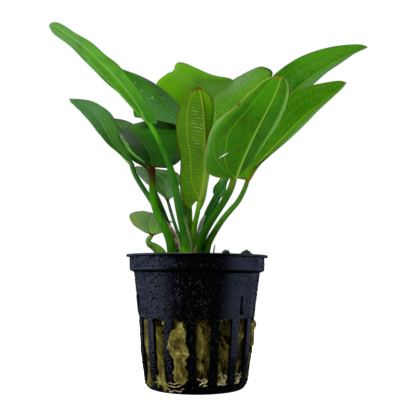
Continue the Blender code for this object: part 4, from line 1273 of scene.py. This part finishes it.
def build_wool(finish):
    """The plug: folded wool that bulges into every slot, with a soft top inside the rim."""
    foot = FLOOR + GAP
    heights = np.linspace(foot, PLUG_TOP, WOOL_ROWS)
    turns = np.linspace(-180, 180, WOOL_TURNS, endpoint=False)
    angle, height = np.meshgrid(turns, heights)
    radius, tone_and_painted_light = wool_surface(angle, height)
    near_top = np.clip((height - (PLUG_TOP - WOOL_EDGE)) / WOOL_EDGE, 0, 1)
    radius -= WOOL_EDGE_DROP * near_top**2
    rings = [wall_points(angle, height, radius).reshape(-1, 3)]
    for k in range(1, WOOL_TOP_RINGS):
        spots = rings[0][-WOOL_TURNS:] * (1 - k / WOOL_TOP_RINGS)
        wave = value_noise(spots * (1, 1, 0) / 3, SEED + 40, 4)
        spots[:, 2] = PLUG_TOP - WOOL_TOP_DIP + np.minimum(0.5 * wave, 0.2)
        rings.append(spots)
    points = np.vstack([*rings, (0, 0, PLUG_TOP - WOOL_MIDDLE_DIP), (0, 0, foot)])
    count = len(points) - 2
    faces = grid_faces(count // WOOL_TURNS, WOOL_TURNS)
    faces += fan(count - WOOL_TURNS, WOOL_TURNS, count) + fan(0, WOOL_TURNS, count + 1, True)
    mesh = new_mesh("rockwool_skin", points, faces)
    full = np.full(len(points), 0.4)
    full[:tone_and_painted_light.size] = tone_and_painted_light.ravel()
    add_fact(mesh, "tone_and_painted_light", full)
    add_piece("rockwool_skin", mesh, finish, ("rockwool",))


def build_lobe(name, lobe, seed, finish):
    """A soft flake of wool that has pushed out through the slots and lies over the wall."""
    shares = np.linspace(0, 1, LOBE_ROWS)
    known = np.linspace(0, 1, len(lobe["heights"]))
    height = np.interp(shares, known, lobe["heights"])
    line = np.outer(height / 1.6, (1, 0, 0))
    left = np.interp(shares, known, lobe["left"]) + lobe["ragged"] * value_noise(line, seed, 4)
    right = np.interp(shares, known, lobe["right"])
    right = right + lobe["ragged"] * value_noise(line + 50, seed, 4)
    across = np.linspace(0, 1, LOBE_COLUMNS)
    angle = mix_numbers(left[:, None], right[:, None], across)
    tall = np.broadcast_to(height[:, None], angle.shape)
    edge = np.minimum(1, 3.2 * np.minimum(across, 1 - across))[None, :]
    ends = np.minimum(1, 7 * np.minimum(shares, 1 - shares))[:, None]
    full = np.sqrt(edge * ends * (2 - edge * ends))
    base = body_radius(tall) + lobe["lift"]
    spots = np.stack([angle * 0.38 + 0.2 * tall, tall, 0 * angle], axis=-1)
    lumps = value_noise(spots / (2.2, 3.0, 1), seed + 3, 4)
    crests = ridges(spots / (2.6, 4.2, 1), seed + 6)
    small = value_noise(spots / (1.0, 1.4, 1), seed + 9)
    shape = np.clip(0.55 + 0.6 * lumps + 0.3 * crests + 0.2 * small, 0.1, 1.3)
    front = wall_points(angle, tall, base + full * lobe["thick"] * shape)
    inside = slot_share(angle, tall) * full * LOBE_FILL
    back = wall_points(angle, tall, base - UNDER_LOBE - inside)
    points = np.concatenate([front, back[:, ::-1]], axis=1).reshape(-1, 3)
    mesh = new_mesh(name, points, capped_faces(LOBE_ROWS, 2 * LOBE_COLUMNS))
    # Painted highlight: tone rises on crests, and a little towards the flake's edge.
    rim = 1 - edge * ends
    crest = np.clip(crests * 4 - 3, 0, 1)
    tone_and_painted_light = np.clip(0.48 + 0.25 * lumps + 0.4 * small + 0.3 * crest + 0.15 * rim, 0.12, 1)
    add_fact(mesh, "tone_and_painted_light", np.concatenate([tone_and_painted_light, tone_and_painted_light[:, ::-1]], axis=1).ravel())
    add_piece(name, mesh, finish)


def tube_mesh(name, tubes, sides=4):
    """Thin threads, each a path and a radius, drawn to a point at both ends, in one mesh."""
    points = []
    faces = []
    start = 0
    turns = np.arange(sides) * 2 * math.pi / sides
    for path, radius in tubes:
        # The small shift keeps a direction where two points of a path are the same
        tangent = unit(np.gradient(path, axis=0) + 1e-6)
        side = unit(np.cross(tangent, (0.31, 0.22, 0.92)))
        up = np.cross(side, tangent)
        shares = np.linspace(0, 1, len(path))
        girth = radius * np.sqrt(np.maximum(4 * shares * (1 - shares), 0.02))
        ring = side[:, None, :] * np.cos(turns)[:, None] + up[:, None, :] * np.sin(turns)[:, None]
        points.append((path[:, None, :] + ring * girth[:, None, None]).reshape(-1, 3))
        faces += [tuple(start + i for i in face) for face in capped_faces(len(path), sides)]
        start += len(path) * sides
    return new_mesh(name, np.vstack(points), faces)


def wool_fibres(rng):
    """Loose fibres on the wool in the slots, and the arms of the wisps."""
    tubes = []
    t = np.linspace(0, 1, 7)
    for _ in range(FIBRE_COUNT):
        slot = SLOT_START_DEG + rng.integers(SLOT_COUNT) * SLOT_PITCH
        length = rng.uniform(*FIBRE_LENGTH)
        lean = rng.normal(0.5, 1.3)
        height = rng.uniform(SLOT_FOOT + 0.6, SLOT_TOP - 1.0) + (t - 0.5) * length
        angle = slot + rng.uniform(-5.0, 5.0) + lean * (t - 0.5) * 5
        angle = angle + rng.uniform(-2, 2) * np.sin(t * math.pi * rng.uniform(0.8, 2))
        height = np.clip(height, SLOT_FOOT + 0.3, SLOT_TOP - 0.4)
        angle = np.clip(angle, slot - FIBRE_SPAN_DEG, slot + FIBRE_SPAN_DEG)
        radius, _ = wool_surface(angle, height)
        lift = 0.05 + 0.5 * rng.uniform(0, 1) ** 2 * np.sin(t * math.pi)
        radius = np.minimum(radius + lift, body_radius(height) + FIBRE_PROUD)
        tubes.append((wall_points(angle, height, radius), rng.uniform(*FIBRE_RADIUS)))
    t = np.linspace(-0.35, 1, 9)
    for centre, arms in WOOL_STARS:
        for far in arms:
            angle = mix_numbers(centre[0], far[0], t)
            height = mix_numbers(centre[1], far[1], t) + 0.2 * np.sin(t * 3)
            height = np.maximum(height, LOWEST_THREAD)
            path = wall_points(angle, height, body_radius(height) + OVER_WALL)
            tubes.append((path, STAR_ARM_RADIUS))
    return tubes


def wool_roots(rng):
    """Pale wet roots near the foot of the slots, and strands that lie over the wall."""
    tubes = []
    t = np.linspace(0, 1, 10)
    for _ in range(ROOT_COUNT):
        slot = SLOT_START_DEG + rng.choice(ROOT_SLOTS) * SLOT_PITCH
        centre = SLOT_FOOT + 0.2 + rng.uniform(0, 1) ** 2 * ROOT_BAND
        height = centre + rng.uniform(-1.5, 1.5) * (t - 0.5) + 0.25 * np.sin(t * rng.uniform(3, 8))
        angle = slot + rng.uniform(-4, 4) + rng.uniform(-9, 9) * (t - 0.5)
        height = np.clip(height, SLOT_FOOT + 0.2, SLOT_TOP - 1)
        angle = np.clip(angle, slot - ROOT_SPAN_DEG, slot + ROOT_SPAN_DEG)
        path = wall_points(angle, height, body_radius(height) - rng.uniform(*ROOT_DEPTH))
        tubes.append((path, rng.uniform(*ROOT_RADIUS)))
    t = np.linspace(0, 1, 14)
    for way in LOOSE_STRANDS:
        known = np.linspace(0, 1, len(way))
        angle, height = (np.interp(t, known, part) for part in zip(*way))
        height = height + 0.3 * np.sin(t * 9)
        path = wall_points(angle, height, body_radius(height) + OVER_WALL)
        tubes.append((path, STRAND_RADIUS))
    return tubes


def build_fibres(finish, pale):
    rng = np.random.default_rng(SEED + 60)
    fibres = tube_mesh("rockwool_fibres", wool_fibres(rng))
    add_fact(fibres, "tone_and_painted_light", np.full(len(fibres.vertices), 0.72))
    add_piece("rockwool_fibres", fibres, finish)
    roots = tube_mesh("rockwool_roots", wool_roots(rng), 6)
    add_piece("rockwool_roots", roots, pale)


def root_material():
    r = Recipe("root_finish")
    streak = r.noise(1.0, where=r.stretched(0.8, 0.8, 0.8))
    colour = r.mix(r.ease(streak, 0.35, 0.65), (150, 130, 70), (216, 204, 160))
    return r.finish(r.principled(colour, 0.3, r.bump(streak, 0.4, 0.2)))


# Water drops
DROP_SIDES = 9
DROP_RINGS = 3
# How far a drop sinks in, as a share of its height
DROP_SUNK = 0.12
# How long a drop is downhill and how tall, as shares of its radius: least and most
DROP_LENGTH = (1.0, 1.25)
DROP_HEIGHT = (0.5, 0.7)
LEAST_SLOPE = 0.1
SEEN_GROWTH = 1.2
POT_DROPS = 2700
POT_DROPS_FROM = 1.6
POT_DROPS_TO = 48.8
# Heights of the pot's shoulder, which stays dry
DRY_BAND = (43.4, 44.8)
DRY_BESIDE_SLOT = 0.35
DRY_BEYOND_SLOT = 0.4
POT_DROP_RADIUS = 0.2
WALL_LEAN = -0.11
# How many, least and most radius in mm, and from and to across the blade
LEAF_DROPS = {
    "leaf_left_rear": (60, 0.12, 0.26, -0.94, 0.94),
    "leaf_rear_broad": (620, 0.18, 0.46, -0.94, 0.4),
    "leaf_right_low": (160, 0.12, 0.26, 0.1, 0.94),
    "leaf_right_tall": (320, 0.14, 0.3, -0.2, 0.94),
    "leaf_left_broad": (160, 0.1, 0.22, -0.2, 0.7),
    "leaf_left_low": (70, 0.1, 0.2, -0.94, 0.94),
    "leaf_left_inner": (40, 0.1, 0.2, -0.94, 0.94),
}
DARK_LEAVES = ("leaf_left_rear", "leaf_left_broad", "leaf_left_low", "leaf_left_inner")
# For dark and light leaves: the drops' tint, and the paler painted light on their low side.
WATER_TINTS = {"dark": ((64, 144, 50), (150, 220, 96)), "light": ((96, 156, 50), (170, 214, 130))}
# Drops seen in the photograph: x and y in its pixels and the radius in mm
SEEN_DROPS = {
    "leaf_left_rear": (
        (142, 89.6, 0.75), (153, 97, 1.05), (163, 98, 0.9), (168.8, 95.4, 0.7), (169, 98.8, 0.45),
        (156.3, 105.8, 0.6), (161.7, 106.3, 0.45), (173.3, 106.7, 0.6), (145, 80.8, 0.7),
        (135.6, 82.2, 0.5), (148.3, 97.7, 0.4), (149.8, 104, 0.3), (157, 111.7, 0.45),
        (158.8, 116.7, 0.45), (166.3, 114.6, 0.45), (170, 114.8, 0.4), (166.7, 112.7, 0.3),
        (171.3, 112.5, 0.35), (173.3, 117, 0.35), (175.4, 114.6, 0.3), (157, 86.7, 0.3),
        (162, 118.6, 0.3), (152.5, 108, 0.3), (146.5, 93.5, 0.25),
    ),
    "leaf_rear_broad": (
        (243.2, 81.4, 0.85), (245, 76.4, 0.5), (253, 78.6, 0.6), (246.6, 79.5, 0.4),
        (241, 86.4, 0.45), (240.5, 89, 0.4), (231.8, 89.4, 0.5), (222.7, 87, 0.4), (214, 84.5, 0.5),
        (213.6, 87.2, 0.5), (226, 80, 0.5), (224, 83, 0.45), (237.7, 79, 0.4), (232.3, 100.5, 0.4),
        (234, 93, 0.35), (219, 90.5, 0.35), (249, 74, 0.35), (258, 71, 0.3),
    ),
}


def dome():
    """A closed drop on the plane z = 0: points of unit radius and height, and faces."""
    points = [(0.0, 0.0, 1.0)]
    turns = [2 * math.pi * i / DROP_SIDES for i in range(DROP_SIDES)]
    for ring in range(1, DROP_RINGS + 1):
        angle = math.pi / 2 * ring / DROP_RINGS
        radius = math.sin(angle)
        points += [(radius * math.cos(a), radius * math.sin(a), math.cos(angle)) for a in turns]
    points.append((0.0, 0.0, -DROP_SUNK))
    faces = fan(1, DROP_SIDES, 0)
    faces += [tuple(1 + i for i in face[::-1]) for face in grid_faces(DROP_RINGS, DROP_SIDES)]
    faces += fan(1 + (DROP_RINGS - 1) * DROP_SIDES, DROP_SIDES, len(points) - 1, True)
    return np.array(points), faces


def drop_mesh(name, drops, seed):
    """Water drops in one mesh; a drop is (point, normal, radius in mm)."""
    rng = np.random.default_rng(seed)
    drop, drop_faces = dome()
    gravity = Vector((0, 0, -1))
    points = []
    faces = []
    for k, (place, normal, radius) in enumerate(drops):
        n = Vector(normal).normalized()
        down = gravity - n * n.dot(gravity)
        along = (down if down.length > LEAST_SLOPE else n.orthogonal()).normalized()
        long = radius * rng.uniform(*DROP_LENGTH)
        tall = radius * rng.uniform(*DROP_HEIGHT)
        axes = np.array([along, n.cross(along), n]) * [[long], [radius], [tall]]
        points.append(np.asarray(place) + drop @ axes)
        faces += [tuple(k * len(drop) + i for i in face) for face in drop_faces]
    mesh = new_mesh(name, np.vstack(points), faces)
    add_fact(mesh, "low", np.tile(drop[:, 0], len(drops)))
    return mesh


def water_material(name, tint, painted_light_tint, low_from, gloss, clear):
    """Clear drops that show a tint, and a paler tint on the low side, which is painted light where
    real drops gather it.
    """
    r = Recipe(name)
    ripple = r.noise(0.8, 1.0)
    tint = r.mix(r.ease(r.attribute("low"), low_from, 1.0), tint, painted_light_tint)
    return r.finish(r.principled(
        tint, 0.03, r.bump(ripple, 0.08, 0.1), Transmission_Weight=clear, IOR=1.33,
        Specular_IOR_Level=gloss,
    ))


def camera_ray(x, y):
    """Origin and direction of the sight line through a pixel of the photograph, in metres."""
    made = bpy.context.scene.camera.matrix_world
    half = FRAME_PX / 2
    towards = made.to_3x3() @ Vector((x - half, half - y, -FOCAL_PX))
    return made.translation, towards.normalized()


def leaf_drops(blades, wet):
    """A random spray over the upper faces, and the drops that the photograph shows."""
    rng = np.random.default_rng(SEED + 80)
    drops = []
    for name in wet:
        count, least, most, side_from, side_to = LEAF_DROPS[name]
        blade = blades[name]
        along = rng.uniform(0.03, 0.97, 4 * count)
        across = rng.uniform(side_from, side_to, 4 * count)
        widths = blade.widths(across, along)
        keep = rng.uniform(0, 1, 4 * count) * widths.max() < widths
        points, normals = blade.place(across[keep][:count], along[keep][:count], True)
        for place, normal in zip(points, normals):
            drops.append((place, normal, least + (most - least) * rng.uniform(0, 1) ** 3))
    for name in [name for name in SEEN_DROPS if name in wet]:
        mesh = bpy.data.objects[name + "_skin"].data
        corners = [v.co for v in mesh.vertices]
        tree = BVHTree.FromPolygons(corners, [p.vertices for p in mesh.polygons])
        for x, y, radius in SEEN_DROPS[name]:
            hit, normal, _, _ = tree.ray_cast(*camera_ray(x, y))
            if hit:
                drops.append((np.array(hit) / MM, normal, SEEN_GROWTH * radius))
    return drops


def near_slot(angle_deg, height):
    """Whether a drop here would overlap a slot or its rounded edge."""
    if not SLOT_FOOT - DRY_BEYOND_SLOT < height < SLOT_TOP + DRY_BEYOND_SLOT:
        return False
    across = abs(math.radians(from_slot(angle_deg))) * float(body_radius(height))
    return across < SLOT_WIDTH_TOP / 2 + DRY_BESIDE_SLOT


def pot_drops():
    """Spray on the collar, the wall and the bars, thicker towards the left of the front."""
    rng = np.random.default_rng(SEED + 90)
    drops = []
    while len(drops) < POT_DROPS:
        angle = rng.uniform(-180, 180)
        height = rng.uniform(POT_DROPS_FROM, POT_DROPS_TO)
        thick = 0.45 + 0.55 * math.exp(-(((angle + 50) / 40) ** 2))
        thick -= 0.26 * math.exp(-(((angle - 5) / 25) ** 2))
        dry = DRY_BAND[0] < height < DRY_BAND[1]
        if rng.uniform() > thick or dry or near_slot(angle, height):
            continue
        collar = height > COLLAR_FOOT
        radius = COLLAR_RADIUS if collar else float(body_radius(height))
        turn = math.radians(angle)
        normal = (math.sin(turn), -math.cos(turn), 0.0 if collar else WALL_LEAN)
        place = wall_points(*np.array([angle, height, radius]))
        spread = 0.2 + 0.26 * (abs(angle + 45) < 30)
        drops.append((place, normal, POT_DROP_RADIUS + spread * rng.uniform() ** 1.8))
    return drops


def build_drops(blades):
    for leaves, tints in WATER_TINTS.items():
        name = "drops_on_" + leaves + "_leaves"
        water = water_material(name + "_finish", *tints, 0.1, 0.6, 0.45)
        wet = [leaf for leaf in LEAF_DROPS if (leaf in DARK_LEAVES) == (leaves == "dark")]
        drops = add_piece(name, drop_mesh(name, leaf_drops(blades, wet), SEED + 1), water)
        drops.visible_shadow = False
    # Pot drops: black, with pale blue painted light on their low side.
    water = water_material("pot_water_finish", (0, 0, 0), (120, 134, 166), 0.6, 1.0, 0.3)
    add_piece("drops_on_pot", drop_mesh("drops_on_pot", pot_drops(), SEED + 2), water)


# Moss clumps: centre, half sizes across and in depth, in mm
MOSS = {"moss_clump_1": ((10.8, -10.0), (2.4, 2.2)), "moss_clump_2": ((18.4, -9.0), (3.1, 2.3))}
MOSS_TOP = 52.5
MOSS_LEAVES = 420
MOSS_ROWS = 14
MOSS_TURNS = 24
MOSS_POLE = 0.02
MOSS_REACH = 1.12
MOSS_LEAF_LENGTH = (0.7, 1.3)
MOSS_LEAF_HALF_WIDTH = (0.2, 0.32)


def build_moss(name, centre, half, seed, finish):
    """A low clump: an uneven core covered in small pointed leaves."""
    rng = np.random.default_rng(seed)
    tall = (MOSS_TOP - PLUG_TOP) / 2
    size = np.array([*half, tall])
    middle = np.array([*centre, PLUG_TOP + tall])
    heights = np.linspace(MOSS_POLE, math.pi - MOSS_POLE, MOSS_ROWS)
    turns = np.arange(MOSS_TURNS) * 2 * math.pi / MOSS_TURNS
    up, turn = np.meshgrid(heights, turns, indexing="ij")
    ball = np.stack([np.sin(up) * np.cos(turn), np.sin(up) * np.sin(turn), np.cos(up)], axis=-1)
    core = ball * (0.74 + 0.12 * value_noise(ball * 2.2, seed))[..., None]
    points = [(middle + core * size).reshape(-1, 3)]
    faces = capped_faces(MOSS_ROWS, MOSS_TURNS)
    start = MOSS_ROWS * MOSS_TURNS
    for _ in range(MOSS_LEAVES):
        way = unit(rng.normal(size=3))
        root = middle + way * size * 0.72
        aim = unit(way + 0.9 * unit(rng.normal(size=3)) + np.array([0, 0, 0.2]))
        side = unit(np.cross(aim, way + 0.01))
        length = rng.uniform(*MOSS_LEAF_LENGTH)
        wide = rng.uniform(*MOSS_LEAF_HALF_WIDTH)
        tip = root + aim * length - 0.25 * length * way
        reach = np.clip(np.linalg.norm((tip - middle) / size) / MOSS_REACH, 1.0, None)
        tip = middle + (tip - middle) / reach
        waist = root + aim * length * 0.45
        sides = waist - side * wide, waist + side * wide
        points.append(np.array([root, sides[0], tip, sides[1], waist + way * 0.1]))
        faces += fan(start, 4, start + 4)
        start += 5
    mesh = new_mesh(name + "_tuft", np.vstack(points), faces)
    add_piece(name + "_tuft", mesh, finish, (name,))


def moss_material():
    r = Recipe("moss_finish")
    tone = r.ease(r.noise(0.7, 2.0), 0.35, 0.65)
    colour = r.mix(tone, (14, 34, 8), (60, 96, 30))
    return r.finish(r.principled(colour, 0.5, r.bump(r.noise(0.4, 2.0), 0.3, 0.1)))


def crown_material():
    r = Recipe("crown_finish")
    tone = r.noise(2.0, 4.0)
    colour = r.mix(r.ease(tone, 0.35, 0.65), (60, 74, 28), (120, 134, 66))
    return r.finish(r.principled(colour, 0.6, r.bump(tone, 0.6, 0.4)))


# Side lights fade towards the camera: from and to along Y in mm, and their share of brightness
SIDE_LIGHT_STEPS = ((-250, -195, 0.25), (-195, -140, 0.9), (-140, 40, 1.7), (40, 320, 0.75))
SIDE_LIGHTS = {"left": (-240, 0.8), "right": (240, 0.5)}
SIDE_LIGHT_HEIGHT = 110
SIDE_LIGHT_TALL = 310
SIDE_COLOUR = (0.5, 0.62, 1.0)
WHITE = (1, 1, 1, 1)
DIM_SKY = (0.85, 0.92, 1.0, 1)
FLOOR_HALF = 4000.0


def set_camera():
    camera = bpy.data.cameras.new("camera")
    camera.sensor_width = SENSOR_MM
    camera.lens = FOCAL_PX / FRAME_PX * SENSOR_MM
    camera.clip_start = 0.01
    camera.clip_end = 20
    made = new_object("camera", camera)
    yaw = Matrix.Rotation(math.radians(-CAMERA_YAW), 4, "Z")
    pitch = Matrix.Rotation(math.radians(90 + CAMERA_PITCH), 4, "X")
    roll = Matrix.Rotation(math.radians(CAMERA_ROLL), 4, "Z")
    place = Matrix.Translation(Vector(CAMERA_PLACE) * MM)
    made.matrix_world = place @ yaw @ pitch @ roll
    bpy.context.scene.camera = made


def softbox(name, place, aim, size, radiance, colour=(1, 1, 1)):
    lamp = bpy.data.lights.new(name, "AREA")
    lamp.shape = "RECTANGLE"
    lamp.size, lamp.size_y = (side * MM for side in size)
    lamp.energy = math.pi * lamp.size * lamp.size_y * radiance
    lamp.color = colour
    made = new_object(name, lamp)
    direction = (Vector(aim) - Vector(place)).normalized()
    turn = direction.to_track_quat("-Z", "Y").to_matrix().to_4x4()
    made.matrix_world = Matrix.Translation(Vector(place) * MM) @ turn
    made.visible_camera = False


def background(tree, colour, strength):
    made = tree.nodes.new("ShaderNodeBackground")
    made.inputs["Color"].default_value = colour
    made.inputs["Strength"].default_value = strength
    return made.outputs[0]


def set_light():
    """A white backdrop for the camera, a dim sky for the plant, and soft lamps."""
    world = bpy.data.worlds.new("studio")
    bpy.context.scene.world = world
    world.use_nodes = True
    tree = world.node_tree
    tree.nodes.clear()
    out = tree.nodes.new("ShaderNodeOutputWorld")
    seen = background(tree, WHITE, 1.0)
    fill = background(tree, DIM_SKY, 0.02)
    path = tree.nodes.new("ShaderNodeLightPath")
    blend = tree.nodes.new("ShaderNodeMixShader")
    for socket, value in zip(blend.inputs, (path.outputs["Is Camera Ray"], fill, seen)):
        tree.links.new(value, socket)
    tree.links.new(blend.outputs[0], out.inputs["Surface"])
    softbox("key_light", (-200, -290, 440), (0, 0, 80), (300, 220), 9.8)
    softbox("top_light", (0, 80, 560), (0, 0, 80), (600, 600), 0.25)
    for side, (x, strength) in SIDE_LIGHTS.items():
        for k, (near, far, share) in enumerate(SIDE_LIGHT_STEPS):
            middle = (near + far) / 2
            place, aim = ((start, middle, SIDE_LIGHT_HEIGHT) for start in (x, 0))
            size = (far - near, SIDE_LIGHT_TALL)
            softbox(f"{side}_light_{k + 1}", place, aim, size, strength * share, SIDE_COLOUR)
    softbox("back_light", (0, 420, 340), (0, 0, 100), (700, 300), 0.5)
    bpy.context.scene.view_settings.view_transform = "Standard"


def set_floor():
    corners = [(x * FLOOR_HALF, y * FLOOR_HALF, 0) for x, y in ((-1, -1), (1, -1), (1, 1), (-1, 1))]
    mesh = new_mesh("floor", corners, [(0, 1, 2, 3)])
    r = Recipe("floor_finish")
    tone = r.mix(r.noise(60.0, 2.0), (250, 250, 250), (255, 255, 255))
    white = r.principled(tone, 0.9, Emission_Color=WHITE, Emission_Strength=1.0)
    finish = r.finish(white)
    finish.cycles.emission_sampling = "NONE"
    mesh.materials.append(finish)
    made = new_object("floor", mesh)
    made.visible_glossy = False
    made.visible_transmission = False


def main():
    set_camera()
    blades = {name: build_grown(name, leaf) for name, leaf in LEAVES.items()}
    for name, (leaf, colours) in SCALES.items():
        build_grown(name, leaf, colours)
    build_pot()
    wool = wool_material()
    build_wool(wool)
    for k, (name, lobe) in enumerate(WOOL_LOBES.items()):
        build_lobe("rockwool_" + name, lobe, SEED + 100 + 10 * k, wool)
    build_fibres(wool, root_material())
    build_drops(blades)
    moss = moss_material()
    for k, (name, (centre, half)) in enumerate(MOSS.items()):
        build_moss(name, centre, half, SEED + 200 + k, moss)
    crown = crown_material()
    for place in bpy.data.objects["crown"].material_slots:
        place.material = crown
    set_light()
    set_floor()


main()
